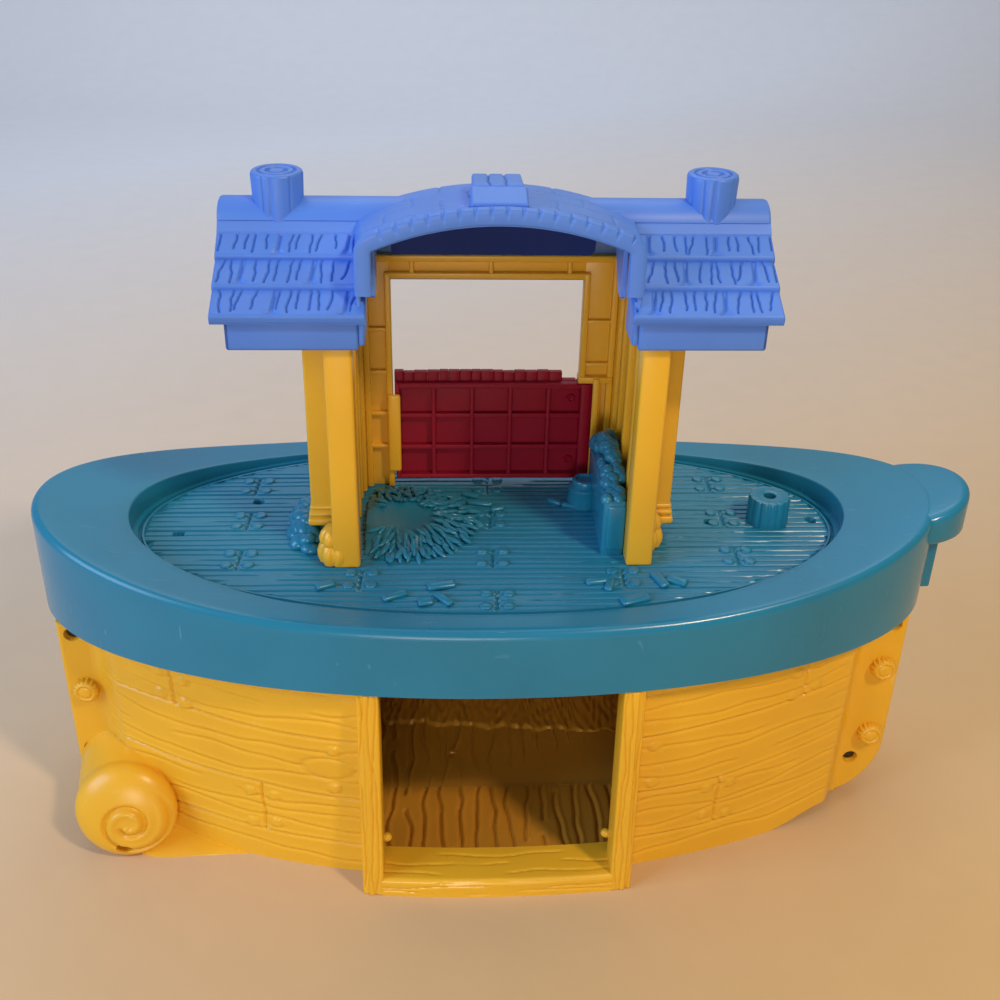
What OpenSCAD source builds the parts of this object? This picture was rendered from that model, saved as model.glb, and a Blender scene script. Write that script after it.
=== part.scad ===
// Toy ark: a two-shell plastic hull, a lift-off deck and a small roofed cabin with a swinging gate.
// Millimetres. X runs from bow (minus) to stern (plus), minus Y is the doorway side, Z is up.
// The origin is on the ground under the middle of the boat.

/* [Deck] */
// Half length of the deck rim
rim_half_len = 214.5; // [208:0.5:224]
// Half width of the deck rim amidships
rim_half_wid = 95; // [90:0.5:100]
// Fullness of the rim and floor outlines, 2 being a plain ellipse
plan_power = 2.08; // [2.06:0.02:2.4]
// Height of the skirt's lower edge above the ground
skirt_z = 115; // [108:0.5:122]
// Height of the plank floor above the skirt's lower edge
floor_up = 32; // [28:0.5:38]
// Lip of the rim above the plank floor amidships
rim_lip = 2; // [1:0.25:2.75]
// Half length of the rim's level stretch amidships
sheer_flat = 66; // [50:1:90]
// Rise of the rim at bow and stern over the middle
sheer_rise = 18; // [12:0.5:22]
// Wall thickness of the deck moulding
deck_t = 3; // [2:0.25:3.5]
// Half length of the sunk plank floor
pan_half_len = 169.5; // [160:0.5:174]
// Width of the rim's band beside the plank floor amidships
rim_band = 14; // [12:0.5:18]
// Plan radius of the finger grip at the stern
grip_r = 29; // [24:0.5:30]
// Distance of the grip's centre inside the rim's end
grip_in = 15.5; // [10:0.5:20]
// Height of the grip's side
grip_h = 17; // [12:0.5:22]
// Length of the catch tab under the grip
catch_h = 32; // [20:0.5:34]
// Width of the catch tab across the boat
catch_w = 24; // [16:0.5:34]

/* [Deck fittings] */
// Distance of the fluted post from the middle
boss_x = 136; // [130:0.5:142]
// Sideways place of the fluted post
boss_y = 1.5; // [-6:0.5:8]
// Radius of the fluted post
boss_r = 9.5; // [8:0.25:12]
// Height of the fluted post
boss_h = 14; // [10:0.5:18]
// Bore radius of the fluted post
boss_bore_r = 3; // [2:0.25:4]
// Width of the feed trough
trough_w = 10.5; // [8:0.5:12]
// Length of the feed trough along the wall
trough_l = 58; // [44:0.5:60]
// Height of the feed trough at its front
trough_h = 29; // [20:0.5:34]
// Radius of the bucket beside the trough
bucket_r = 7.5; // [5:0.25:8]
// Height of the bucket
bucket_h = 13; // [9:0.5:16]
// Radius of the straw nest
nest_r = 27; // [22:0.5:29]
// Height of the straw nest's edge
nest_h = 5; // [3:0.25:7]
// Number of straws that lie round the nest
straw_count = 26; // [16:1:30]
// Radius of one straw
straw_r = 1.6; // [1:0.1:1.8]
// Length of one straw
straw_l = 17; // [12:0.5:18]
// Radius of the feed that is heaped in the trough
feed_r = 24; // [20:0.5:26]
// Radius of one lump of feed
lump_r = 4; // [3:0.25:4.5]

/* [Deck planks] */
// Width of one deck plank
plank_w = 17.5; // [15:0.5:20]
// Depth of the seams between the planks
plank_cut = 0.8; // [0.4:0.05:0.85]
// Width of the seams between the planks
plank_seam = 1.4; // [0.8:0.1:2]
// Distance of the outer plank joints from the middle one
joint_step = 115.5; // [108:0.5:120]
// Radius of the studs beside a plank joint
stud_r = 2.7; // [2:0.1:3]
// Height of the studs
stud_h = 1.7; // [1:0.1:2.4]
// Radius of the four drain holes
drain_r = 2.3; // [1.5:0.1:3]

/* [Hull] */
// Half length of the planked hull between its end blocks
hull_half_len = 185; // [180:0.5:189]
// Distance of the hull's side at the ground inside the rim's side amidships
skirt_room = 9; // [7:0.5:13]
// Plan radius of the hull's long sides
hull_side_r = 395; // [370:5:430]
// Growth of the hull outline from the ground to its top edge
hull_flare = 4.5; // [2:0.25:5]
// Wall thickness of the hull shells
hull_t = 2.5; // [2:0.25:3]
// Thickness of the hull floor
hull_floor_t = 3; // [2:0.25:4]
// Place of the joint plane between the two shells, towards the doorway
seam_y = 26.5; // [16:0.5:29]
// Half thickness of the stem and stern blocks
block_half = 34.5; // [31:0.5:37]
// Length of the stem block ahead of the planks
bow_reach = 19; // [17:0.5:21]
// Length of the stern block behind the planks
stern_reach = 17.5; // [16:0.5:19]
// Radius of the stern block's lower corner
stern_corner_r = 40; // [30:0.5:46]
// Radius of the moulded bolt heads
bolt_r = 5.2; // [4:0.25:6]
// Height of the moulded bolt heads
bolt_h = 4.5; // [3:0.25:6]

/* [Bow scroll] */
// Radius of the scroll
scroll_r = 24.5; // [21:0.5:26]
// Distance of the scroll's centre from the middle
scroll_x = 176.5; // [172:0.5:179]
// Distance of the scroll's face from the centre plane
scroll_y = 71; // [66:0.5:75]
// Edge rounding of the scroll
scroll_round = 9; // [5:0.5:10]
// Backward lean of the scroll's face in degrees
scroll_lean = 14; // [8:1:18]

/* [Doorway] */
// Sideways place of the doorway
door_x = 2; // [-4:0.5:6]
// Width of the doorway
door_w = 107; // [96:0.5:112]
// Width of each doorway post
door_post_w = 10; // [7:0.5:13]
// Reach of the posts beyond the hull amidships at the ground
door_reach = 11; // [8:0.5:14]
// Backward lean of the posts in degrees
door_lean = 2.8; // [2.4:0.1:3.4]
// Height of the sill
sill_h = 10; // [6:0.5:14]
// Depth of the sill
sill_d = 22; // [16:0.5:24]
// Height of the two ramp pips above the sill
pip_up = 11; // [8:0.5:16]

/* [Cabin] */
// Middle of the cabin towards the back
cab_y = 1.5; // [-1:0.5:4]
// Half distance between the two side walls
cab_half_w = 60.7; // [58:0.1:63]
// Half depth of the cabin over the posts
cab_half_d = 41.5; // [39:0.5:43]
// Height of the cabin walls
wall_h = 118; // [112:0.5:122]
// Thickness of the cabin walls
wall_t = 3; // [2:0.25:4]
// Width of the corner posts across the boat
post_w = 12; // [9:0.5:14]
// Depth of the corner posts
post_d = 12; // [9:0.5:15]
// Outward reach of the bay on each side wall
bay_out = 11.5; // [8:0.5:14]
// Half width of the bay
bay_half = 16; // [12:0.5:19]
// Height of the bay's foot above the plank floor
bay_up = 9; // [6:0.5:12]
// Width of the strips on the inside of a side wall
strip_w = 7; // [5:0.5:8]
// Depth of the strips on the inside of a side wall
strip_d = 4; // [3.2:0.2:5]
// Height of one band of the bay's base moulding
band_h = 3.6; // [2.5:0.1:4.4]
// Rise from one band of the base moulding to the next
band_step = 5; // [4.6:0.1:6]
// Reach of the base moulding beyond the bay
band_out = 1.2; // [0.6:0.1:2]
// Radius of the moulded knob at the post's foot
knob_r = 6.5; // [5:0.25:8]

/* [Window wall] */
// Distance from the middle to the window's bow side
win_left = 47; // [44:0.5:50]
// Distance from the middle to the window's stern side
win_right = 44; // [40:0.5:46]
// Height of the window's upper edge above the plank floor
win_top = 108; // [102:0.5:112]
// Height of the gate opening above the plank floor
gate_open_h = 57.5; // [52:0.5:62]
// Depth of the ribs on the window wall
rib_d = 3; // [2:0.25:4]
// Width of one rib
rib_w = 2.2; // [1.5:0.1:3]

/* [Gate] */
// Width of the gate from its hinge to its free edge
gate_w = 98; // [92:0.5:99]
// Height of the gate
gate_h = 52; // [46:0.5:52.5]
// Gap under the gate
gate_gap = 4.5; // [4:0.25:5]
// Thickness of the gate
gate_t = 7; // [5:0.25:8]
// Thickness of the gate's panel
gate_panel_t = 2.4; // [1.5:0.1:3]
// Hinge axis distance from the middle
hinge_x = 48.5; // [47.5:0.25:49.5]
// Radius of the hinge pin
pin_r = 1.5; // [1.2:0.05:1.8]
// Running clearance of the gate on its pin
pin_fit = 0.06; // [0.03:0.01:0.1]

/* [Roof] */
// Half length of the roof at the eaves
roof_half_len = 116.5; // [112:0.5:120]
// Overhang of the eaves beyond the posts
eave_out = 8.5; // [6:0.5:11]
// Overhang of the fascia face beyond the posts
fascia_out = 3.5; // [2.75:0.25:5]
// Distance of the fascia's end inside the eave's end
fascia_in = 5; // [3:0.5:8]
// Height of the fascia
fascia_h = 15; // [11:0.5:18]
// Wall thickness of the roof
roof_t = 2.6; // [2:0.1:3]
// Height of the slope's lower edge above the wall tops
eave_up = 4; // [2:0.5:7]
// Rise of the slope from the eave to the ridge log
roof_rise = 28; // [24:0.5:32]
// Thickness of one shingle row's lower edge
row_step = 3.4; // [2.5:0.1:4]
// Radius of the ridge log
ridge_r = 7; // [5.5:0.25:8]
// Half width of the arched dormer
dormer_half = 57.5; // [54:0.5:60]
// Width of the dormer's legs
dormer_leg = 6.5; // [5:0.25:8]
// Plan depth of the dormer in front of the ridge
dormer_d = 46; // [43:0.5:47]
// Radius of the dormer's vault
vault_r = 133; // [120:1:150]
// Height of the vault's crown above the wall tops
vault_up = 48.5; // [46:0.5:52]
// Radius of the stub chimneys
chimney_r = 10.5; // [8:0.25:12]
// Distance of the chimneys from the middle
chimney_x = 91.7; // [86:0.5:96]
// Height of the chimneys above the wall tops
chimney_up = 52; // [48:0.5:56]
// Width of the cap block on the vault
cap_w = 22.5; // [18:0.5:26]
// Length of the cap block
cap_l = 40; // [34:0.5:44]
// Height of the cap block
cap_h = 5; // [4:0.25:7]
// Height of the inner panel's lower edge above the wall tops
panel_up = 13; // [9:0.5:17]

/* [Fasteners] */
// Shank radius of the screws
screw_r = 1.5; // [1.2:0.05:1.8]
// Head radius of the screws
head_r = 3; // [2.5:0.1:3.4]
// Head height of the screws
head_h = 2.2; // [1.6:0.1:2.8]
// Bite of the hull screws behind the joint plane
hull_bite = 12; // [9:0.5:13]
// Bite of the cabin screws above the plank floor
cabin_bite = 12; // [9:0.5:16]
// Clearance between a screw and its hole
screw_fit = 0.1; // [0.05:0.01:0.2]
// Gap between pieces that lift apart
lift_gap = 0.4; // [0.3:0.05:0.6]

/* [Hidden] */
$fn = 72;
e = 0.01;
pan_half_wid = rim_half_wid - rim_band;
hull_half_wid = rim_half_wid - skirt_room;
floor_z = skirt_z + floor_up;
rim_mid_z = floor_z + rim_lip;
sheer_len = rim_half_len - sheer_flat;
sheer_r = (sheer_len * sheer_len + sheer_rise * sheer_rise) / (2 * sheer_rise);
grip_z = rim_mid_z + sheer_rise - grip_h;
hull_top = rim_mid_z - deck_t - lift_gap;
flare_per = hull_flare / hull_top;
block_top = skirt_z - lift_gap;
bow_x = -(hull_half_len + bow_reach);
stern_x = hull_half_len + stern_reach;
wall_top = floor_z + wall_h;
out_x = cab_half_w + post_w;
screw_x = out_x - post_w / 2;
screw_y = cab_half_d - post_d / 2;
front_y = cab_y - cab_half_d;
back_y = cab_y + cab_half_d;
gate_z = floor_z + gate_gap;
hinge_y = back_y - gate_t / 2 + 1.5;
hinge_bore = pin_r + pin_fit;
ledge_z = floor_z + gate_open_h;
ledge_h = 6;
eave_z = wall_top + eave_up;
eave_y = cab_half_d + eave_out;
fascia_y = cab_half_d + fascia_out;
fascia_x = roof_half_len - fascia_in;
fascia_z = eave_z - fascia_h + 1;
slope_top_z = eave_z + roof_rise;
slope_top_y = ridge_r - 2;
vault_z = wall_top + vault_up;
door_half = door_w / 2;
door_y = hull_half_wid + door_reach;
screw_seat = 3;
hull_screw_at = [[bow_x + 7, 108], [bow_x + 7, 40], [stern_x - 7, 109], [stern_x - 16, 26]];
post_at = [[-1, -1], [1, -1], [-1, 1], [1, 1]];
joint_at = concat([for (k = [-2, 0, 2], s = [-1:1]) [s * joint_step - 1, k]],
    [[-joint_step / 2 - 2, -3], [joint_step / 2, -3], [0, -4]]);
drain_at = [[-148, cab_y - 9], [-114, cab_y + 21], [107.5, cab_y - 1.5], [158, cab_y]];

yellow = [0.85, 0.63, 0.17];
teal = [0.16, 0.48, 0.56];
blue = [0.34, 0.53, 0.89];
maroon = [0.43, 0.08, 0.14];
steel = [0.7, 0.7, 0.72];

// Points of a full oval with half length a and half width b.
function oval_points(a, b) = [for (i = [0:95]) let (c = cos(i * 3.75), d = sin(i * 3.75))
    [a * sign(c) * pow(abs(c), 2 / plan_power), b * sign(d) * pow(abs(d), 2 / plan_power)]];

// Sideways place of the middle of plank k, counted from the one by the fluted post.
function plank_y(k) = cab_y + 2 + plank_w * k;

// Upright solid on an oval, moved outward by off.
module oval(a, b, h, off = 0) {
    linear_extrude(h) polygon(oval_points(a + off, b + off));
}

// Height of the rim line, level amidships and a wide arc towards each end.
function rim_line(x) = rim_mid_z + sheer_r - sqrt(sheer_r * sheer_r - pow(max(0, abs(x) - sheer_flat), 2));

// Everything below the rim line, lowered by drop.
module below_sheer(drop) {
    step = (sheer_len + 20) / 12;
    far = sheer_flat + 12 * step;
    rotate([90, 0, 0]) linear_extrude(420, center = true)
        polygon(concat([[far, 0], [-far, 0]],
            [for (i = [0:12]) [i * step - far, rim_line(i * step - far) - drop]],
            [for (i = [0:12]) [sheer_flat + i * step, rim_line(sheer_flat + i * step) - drop]]));
}

// Planked hull between two heights, moved outward by off, its ends at the blocks.
module hull_solid(z0, z1, off) {
    cy = hull_side_r - hull_half_wid;
    r0 = hull_side_r + off + flare_per * z0;
    r1 = hull_side_r + off + flare_per * z1;
    intersection() {
        translate([0, cy, z0]) cylinder(h = z1 - z0, r1 = r0, r2 = r1, $fn = 180);
        translate([0, -cy, z0]) cylinder(h = z1 - z0, r1 = r0, r2 = r1, $fn = 180);
        translate([-hull_half_len - off, -150, z0]) cube([2 * (hull_half_len + off), 300, z1 - z0]);
    }
}

// Stem and stern blocks with a rounded lower corner at the stern, shrunk by inset.
module end_blocks(inset) {
    root = hull_half_len - 1 - 2 * inset;
    lo = inset;
    hi = block_top - inset;
    y = block_half - inset;
    r = stern_corner_r;
    translate([bow_x + inset, -y, lo]) cube([-root - bow_x - inset, 2 * y, hi - lo]);
    difference() {
        translate([root, -y, lo]) cube([stern_x - root - inset, 2 * y, hi - lo]);
        difference() {
            translate([stern_x - r, -y - 1, -1]) cube([r + 1, 2 * y + 2, r + 1]);
            translate([stern_x - r, 0, r]) rotate([90, 0, 0])
                cylinder(h = 2 * y + 4, r = r - inset, center = true);
        }
    }
}

// Bosses and ribs behind the joint plane that take the hull screws.
module screw_bosses() {
    for (s = hull_screw_at) translate([s[0], -seam_y, s[1]]) {
        rotate([-90, 0, 0]) cylinder(h = hull_bite + 6, r = screw_r + 2.5);
        translate([-16, 0, -1.25]) cube([32, hull_bite + 6, 2.5]);
    }
}

// Counterbored holes of the hull screws.
module screw_holes() {
    for (s = hull_screw_at) translate([s[0], -block_half - 2, s[1]]) rotate([-90, 0, 0]) {
        cylinder(h = 2 + block_half - seam_y - screw_seat, r = head_r + 4 * screw_fit);
        cylinder(h = 2 + block_half - seam_y + hull_bite + 2, r = screw_r + screw_fit);
    }
}

// Rounded scroll at the bow with its neck and foot, doorway side.
module scroll_solid() {
    translate([-scroll_x, -scroll_y, scroll_r + 2]) rotate([-90 - scroll_lean, 0, 0]) rotate_extrude() {
        square([scroll_r - scroll_round, scroll_y - 30]);
        translate([0, scroll_round]) square([scroll_r, scroll_y - 30 - scroll_round]);
        translate([scroll_r - scroll_round, scroll_round]) circle(r = scroll_round);
    }
    translate([-scroll_x, -scroll_y + scroll_r, scroll_r + 2]) rotate([-22, -16, 0])
        cylinder(h = 46, r1 = scroll_r - 2, r2 = 8);
    intersection() {
        translate([-scroll_x, -scroll_y, 0]) cube([52, scroll_y - 20, 14]);
        translate([-scroll_x, -scroll_y, 0]) rotate([0, 14, 0]) translate([-20, 0, -30]) cube([90, 60, 44]);
    }
}

// One round moulded bolt head on the doorway side.
module bolt_head(x, z) {
    translate([x, -block_half + 0.5, z]) rotate([90, 0, 0]) {
        cylinder(h = bolt_h - 1, r = bolt_r);
        translate([0, 0, bolt_h - 1 - e]) cylinder(h = 1.5, r1 = bolt_r, r2 = bolt_r - 1.5);
    }
}

// Outer trims that stand on one side of the hull.
module side_trims() {
    difference() {
        scroll_solid();
        hull_solid(-1, hull_top + 1, -hull_t / 2);
        translate([-300, -100, -20]) cube([600, 200, 20]);
    }
    bolt_head(bow_x + 10, 77);
    bolt_head(stern_x - 9, 84);
    bolt_head(stern_x - 9, 43);
}

// Complete hull before it is parted into two shells.
module whole_hull() {
    difference() {
        union() {
            hull_solid(0, hull_top, 0);
            end_blocks(0);
            side_trims();
            mirror([0, 1, 0]) side_trims();
        }
        difference() {
            union() {
                hull_solid(hull_floor_t, hull_top + 1, -hull_t);
                end_blocks(hull_t);
            }
            screw_bosses();
            for (s = hull_screw_at) translate([s[0], -block_half + 1, s[1]]) rotate([-90, 0, 0])
                cylinder(h = block_half - seam_y - 1, r = head_r + 2);
        }
        screw_holes();
    }
}

// Leaning posts, sill and pips of the doorway.
module door_frame() {
    for (s = [-1, 1]) {
        px = door_x + s * (door_half + door_post_w / 2);
        translate([px, -door_y, 0]) rotate([-door_lean, 0, 0]) {
            translate([-door_post_w / 2, 0.8, 0]) cube([door_post_w, 30, block_top + 8]);
            translate([-s * door_post_w * 0.16 - door_post_w * 0.34, 0, 0])
                cube([door_post_w * 0.68, 30, block_top + 8]);
        }
        translate([door_x + s * (door_half + 0.5), -door_y + sill_d - 5, sill_h + pip_up])
            rotate([0, -s * 90, 0]) cylinder(h = 3, r1 = 2.2, r2 = 1.6);
    }
    translate([door_x - door_half - 1, -door_y, 0]) cube([door_w + 2, sill_d, sill_h]);
}

module hull_front_shell() {
    color(yellow) difference() {
        union() {
            intersection() {
                difference() {
                    whole_hull();
                    translate([door_x - door_half, -150, sill_h - 2])
                        cube([door_w, 150 - seam_y - 20, 200]);
                }
                translate([-300, -200, -1]) cube([600, 200 - seam_y, 300]);
            }
            difference() {
                intersection() {
                    door_frame();
                    translate([-150, -150, 0]) cube([300, 120, block_top]);
                }
                difference() {
                    hull_solid(sill_h, hull_top + 1, -hull_t);
                    translate([door_x - door_half - 4, -door_y - 30, 0]) cube([door_w + 8, 60, sill_h + 20]);
                }
                hull_solid(hull_floor_t, hull_top + 1, -hull_t - 12);
            }
        }
        translate([-300, -200, -20]) cube([600, 400, 20]);
    }
}

module hull_rear_shell() {
    color(yellow) intersection() {
        whole_hull();
        translate([-300, -seam_y, -1]) cube([600, 200, 300]);
    }
}

// A pan-head screw pointing along plus Z, its seat at zero.
module screw(len) {
    translate([0, 0, -head_h]) cylinder(h = head_h, r = head_r);
    translate([0, 0, -e]) cylinder(h = len, r = screw_r);
}

module hull_screws() {
    color(steel) for (s = hull_screw_at)
        translate([s[0], -seam_y - screw_seat, s[1]]) rotate([-90, 0, 0]) screw(screw_seat + hull_bite);
}

// Ring-shaped deck moulding: skirt, rim with sheer and sunk floor.
module deck_shell() {
    difference() {
        union() {
            intersection() {
                translate([0, 0, skirt_z])
                    oval(rim_half_len, rim_half_wid, 80);
                below_sheer(0);
            }
            intersection() {
                translate([rim_half_len - grip_in, 0, grip_z]) cylinder(h = 60, r = grip_r);
                below_sheer(0);
            }
        }
        translate([0, 0, floor_z]) oval(pan_half_len, pan_half_wid, 80);
        difference() {
            intersection() {
                translate([0, 0, skirt_z - 1])
                    oval(rim_half_len, rim_half_wid, 80, -deck_t);
                below_sheer(deck_t);
            }
            translate([0, 0, floor_z - deck_t])
                oval(pan_half_len, pan_half_wid, 80, deck_t);
        }
    }
    translate([rim_half_len - 3, -catch_w / 2, grip_z - catch_h]) cube([7, catch_w, catch_h + 4]);
}

// Seams, butt joints and drain holes that are sunk into the deck floor.
module plank_cuts() {
    deep = floor_z - plank_cut;
    intersection() {
        translate([0, 0, deep]) oval(pan_half_len, pan_half_wid, 10);
        union() {
            for (k = [-5:3]) translate([-pan_half_len, plank_y(k + 0.5) - plank_seam / 2, deep])
                cube([2 * pan_half_len, plank_seam, 5]);
            for (j = joint_at) translate([j[0] - plank_seam / 2, plank_y(j[1] - 0.5), deep])
                cube([plank_seam, plank_w, 5]);
        }
    }
    for (d = drain_at) translate([d[0], d[1], floor_z - deck_t - 1])
        cylinder(h = deck_t + 5, r = drain_r);
}

// Four studs at each butt joint.
module plank_studs() {
    for (j = joint_at, p = post_at)
        translate([j[0] + p[0] * 2 * stud_r, plank_y(j[1]) + p[1] * 1.6 * stud_r, floor_z - 1])
            cylinder(h = stud_h + 1, r = stud_r);
}

// Trough, bucket, nest and heap that are moulded with the deck floor.
module deck_fittings() {
    tx = cab_half_w - trough_w - lift_gap;
    translate([tx, front_y + 10, floor_z - 1]) difference() {
        union() {
            cube([trough_w, trough_l, trough_h + 1]);
            translate([0, trough_l - feed_r - 1, trough_h - feed_r / 2]) rotate([0, 90, 0]) {
                cylinder(h = trough_w, r = feed_r);
                for (i = [-3:2]) rotate([0, 0, 180 + 20 * i]) translate([feed_r - 1, 0, trough_w / 2])
                    sphere(r = lump_r);
            }
        }
        translate([-1, -1, -40]) cube([trough_w + 2, trough_l + 2, 40]);
        translate([-1, trough_l, -1]) cube([trough_w + 2, 30, 80]);
    }
    translate([tx - bucket_r + 0.5, cab_y + 14, floor_z - 1]) {
        cylinder(h = bucket_h * 0.6 + 1, r = bucket_r);
        cylinder(h = bucket_h + 1, r = bucket_r * 0.72);
    }
    translate([-cab_half_w + nest_r - 7, cab_y, floor_z - 1]) difference() {
        union() {
            cylinder(h = nest_h + 1, r1 = nest_r, r2 = nest_r - 8);
            for (i = [1:straw_count]) rotate([0, 0, 360 * (i + 0.5) / straw_count])
                translate([nest_r - 9, 0, nest_h - 0.2]) rotate([0, 99, 0])
                    cylinder(h = straw_l, r = straw_r);
        }
        translate([0, 0, nest_h + 9]) sphere(r = 17);
        translate([-nest_r - 20, -60, 0]) cube([20 + 7 + 1, 120, 40]);
    }
    for (i = [-2:2]) translate([-out_x - 13, cab_y - 2 + 10 * i, floor_z - 2]) sphere(r = 8);
}

module deck() {
    color(teal) difference() {
        union() {
            difference() {
                deck_shell();
                plank_cuts();
            }
            plank_studs();
            difference() {
                deck_fittings();
                translate([-300, -200, floor_z - deck_t - 60]) cube([600, 400, 60]);
            }
            translate([boss_x, boss_y, floor_z - 1]) {
                cylinder(h = boss_h + 1, r = boss_r - 0.8);
                for (i = [0:11]) rotate([0, 0, 30 * i]) translate([boss_r - 1.6, 0, 0])
                    cylinder(h = boss_h + 1, r = 1.6);
            }
            translate([hinge_x, hinge_y, floor_z - deck_t - 3]) cylinder(h = 4, r = pin_r + 2.5);
            for (p = post_at)
                translate([p[0] * screw_x, cab_y + p[1] * screw_y, floor_z - deck_t - 1])
                    cylinder(h = 2, r = head_r + 2);
        }
        translate([boss_x, boss_y, floor_z - deck_t - 1]) cylinder(h = boss_h + 40, r = boss_bore_r);
        translate([hinge_x, hinge_y, floor_z - deck_t - 1]) cylinder(h = 40, r = pin_r + 0.02);
        for (p = post_at) translate([p[0] * screw_x, cab_y + p[1] * screw_y, floor_z - deck_t - 5])
            cylinder(h = 40, r = screw_r + screw_fit);
    }
}

module cabin_screws() {
    color(steel) for (p = post_at)
        translate([p[0] * screw_x, cab_y + p[1] * screw_y, floor_z - deck_t - 1])
            screw(deck_t + 1 + cabin_bite);
}

// Side wall on the stern side: two posts, panel, bay with base moulding and foot knobs.
module side_wall() {
    difference() {
        union() {
            for (y = [front_y, back_y - post_d]) translate([cab_half_w, y, floor_z])
                cube([post_w, post_d, wall_h]);
            translate([cab_half_w + post_w / 2 - wall_t / 2, front_y + 1, floor_z])
                cube([wall_t, 2 * cab_half_d - 2, wall_h]);
            for (y = [front_y + post_d - e, cab_y + 4]) translate([cab_half_w + 1, y, floor_z])
                cube([strip_d, strip_w, wall_h]);
            translate([out_x - post_w / 2, cab_y - bay_half, floor_z + bay_up])
                cube([post_w / 2 + bay_out, 2 * bay_half, wall_h - bay_up]);
            for (i = [0, 1])
                translate([out_x - post_w / 2, cab_y - bay_half - band_out, floor_z + bay_up + band_step * i])
                    cube([post_w / 2 + bay_out + band_out, 2 * (bay_half + band_out), band_h]);
            for (y = [front_y + post_d / 2, front_y + post_d + 2])
                translate([out_x - 2, y, floor_z + knob_r + 1.5]) sphere(r = knob_r);
            translate([out_x - 2, front_y + post_d / 2 + 3, floor_z + 2.2 * knob_r]) sphere(r = knob_r * 0.7);
        }
        translate([out_x - post_w / 2 + wall_t / 2, cab_y - bay_half + wall_t, floor_z + bay_up + wall_t])
            cube([post_w / 2 + bay_out - 1.5 * wall_t, 2 * bay_half - 2 * wall_t, wall_h]);
        for (s = [-1, 1]) translate([screw_x, cab_y + s * screw_y, floor_z - 1])
            cylinder(h = cabin_bite + 8, r = screw_r + screw_fit);
        translate([0, -rim_half_wid, floor_z - 4 * knob_r])
            cube([rim_half_len, 2 * rim_half_wid, 4 * knob_r]);
    }
}

module cabin_right_wall() {
    color(yellow) side_wall();
}

module cabin_left_wall() {
    color(yellow) mirror([1, 0, 0]) side_wall();
}

module cabin_back_wall() {
    panel_y = back_y - wall_t;
    bead = 3;
    color(yellow) difference() {
        union() {
            translate([-cab_half_w, panel_y, floor_z]) cube([2 * cab_half_w, wall_t, wall_h]);
            translate([-cab_half_w, panel_y - rib_d, wall_top - bead])
                cube([2 * cab_half_w, rib_d + 1, bead]);
            for (s = [-1, 1]) translate([s < 0 ? -cab_half_w : cab_half_w - bead, panel_y - rib_d, floor_z])
                cube([bead, rib_d + 1, wall_h]);
            translate([-win_left - bead, panel_y - rib_d, ledge_z - bead])
                cube([win_left + win_right + 2 * bead, rib_d + 1, win_top + bead - gate_open_h + bead]);
            translate([-win_left - bead, panel_y - rib_d, floor_z]) cube([bead, rib_d + 1, gate_open_h + 1]);
            for (z = [22, 40, 62, 84]) translate([-cab_half_w, panel_y - rib_d, floor_z + z])
                cube([cab_half_w - win_left, rib_d + 1, rib_w]);
            for (z = [66, 88]) translate([win_right, panel_y - rib_d, floor_z + z])
                cube([cab_half_w - win_right, rib_d + 1, rib_w]);
            for (x = [-37, 0, 37]) translate([x - rib_w / 2, panel_y - rib_d, floor_z + win_top])
                cube([rib_w, rib_d + 1, wall_h - win_top]);
            translate([win_right - 1, hinge_y - pin_r - 2.5, ledge_z])
                cube([cab_half_w - win_right + 1, back_y - hinge_y + pin_r + 2.5, ledge_h]);
        }
        translate([-win_left, panel_y - rib_d - 1, floor_z + gate_open_h - 1])
            cube([win_left + win_right, wall_t + rib_d + 2, win_top - gate_open_h + 1]);
        translate([-win_left, panel_y - rib_d - 1, floor_z - 1])
            cube([win_left + hinge_x + gate_t / 2 + 0.8, wall_t + rib_d + 2, gate_open_h + 1]);
        translate([hinge_x, hinge_y, ledge_z - 2]) cylinder(h = ledge_h - 1, r = pin_r + 0.02);
    }
    color(yellow) difference() {
        translate([-win_left - 2.5, panel_y - rib_d - 2.2, floor_z + 10]) cube([6, 2.2, 42]);
        translate([-win_left - 3, panel_y - rib_d - 3, floor_z + 53]) cube([8, 8, 10]);
    }
}

module gate_hinge_pin() {
    color(steel) translate([hinge_x, hinge_y, floor_z - deck_t - 1])
        cylinder(h = ledge_z + ledge_h - 3 - floor_z + deck_t + 1, r = pin_r);
}

module gate() {
    y0 = hinge_y - gate_t / 2;
    x0 = hinge_x - gate_w + gate_t / 2;
    w = gate_w - gate_t / 2;
    color(maroon) translate([0, 0, gate_z]) difference() {
        union() {
            translate([x0, y0 + gate_t - gate_panel_t, 0]) cube([w, gate_panel_t, gate_h]);
            translate([hinge_x, hinge_y, 0]) cylinder(h = gate_h, r = gate_t / 2);
            for (z = [0, gate_h - 2.4]) translate([x0, y0, z]) cube([w, gate_t, 2.4]);
            translate([x0, y0, 0]) cube([2.4, gate_t, gate_h]);
            for (i = [1:4]) translate([x0 + i * w / 5 - 1, y0 + 0.8, 0]) cube([2, gate_t - 1, gate_h]);
            for (i = [1:2]) translate([x0, y0 + 1.6, i * gate_h / 3 - 1]) cube([w, gate_t - 2, 2]);
        }
        translate([hinge_x, hinge_y, -1]) cylinder(h = gate_h + 2, r = hinge_bore);
        for (z = [9, gate_h - 9]) translate([hinge_x - 7.5, y0 - 1, z]) rotate([-90, 0, 0])
            cylinder(h = gate_t + 2, r = 1.4);
        for (i = [1:16]) translate([x0 + i * w / 17, y0 + gate_t, -1]) rotate([0, 0, 45])
            translate([-0.5, -0.5, 0]) cube([1, 1, gate_h + 2]);
    }
}

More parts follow.
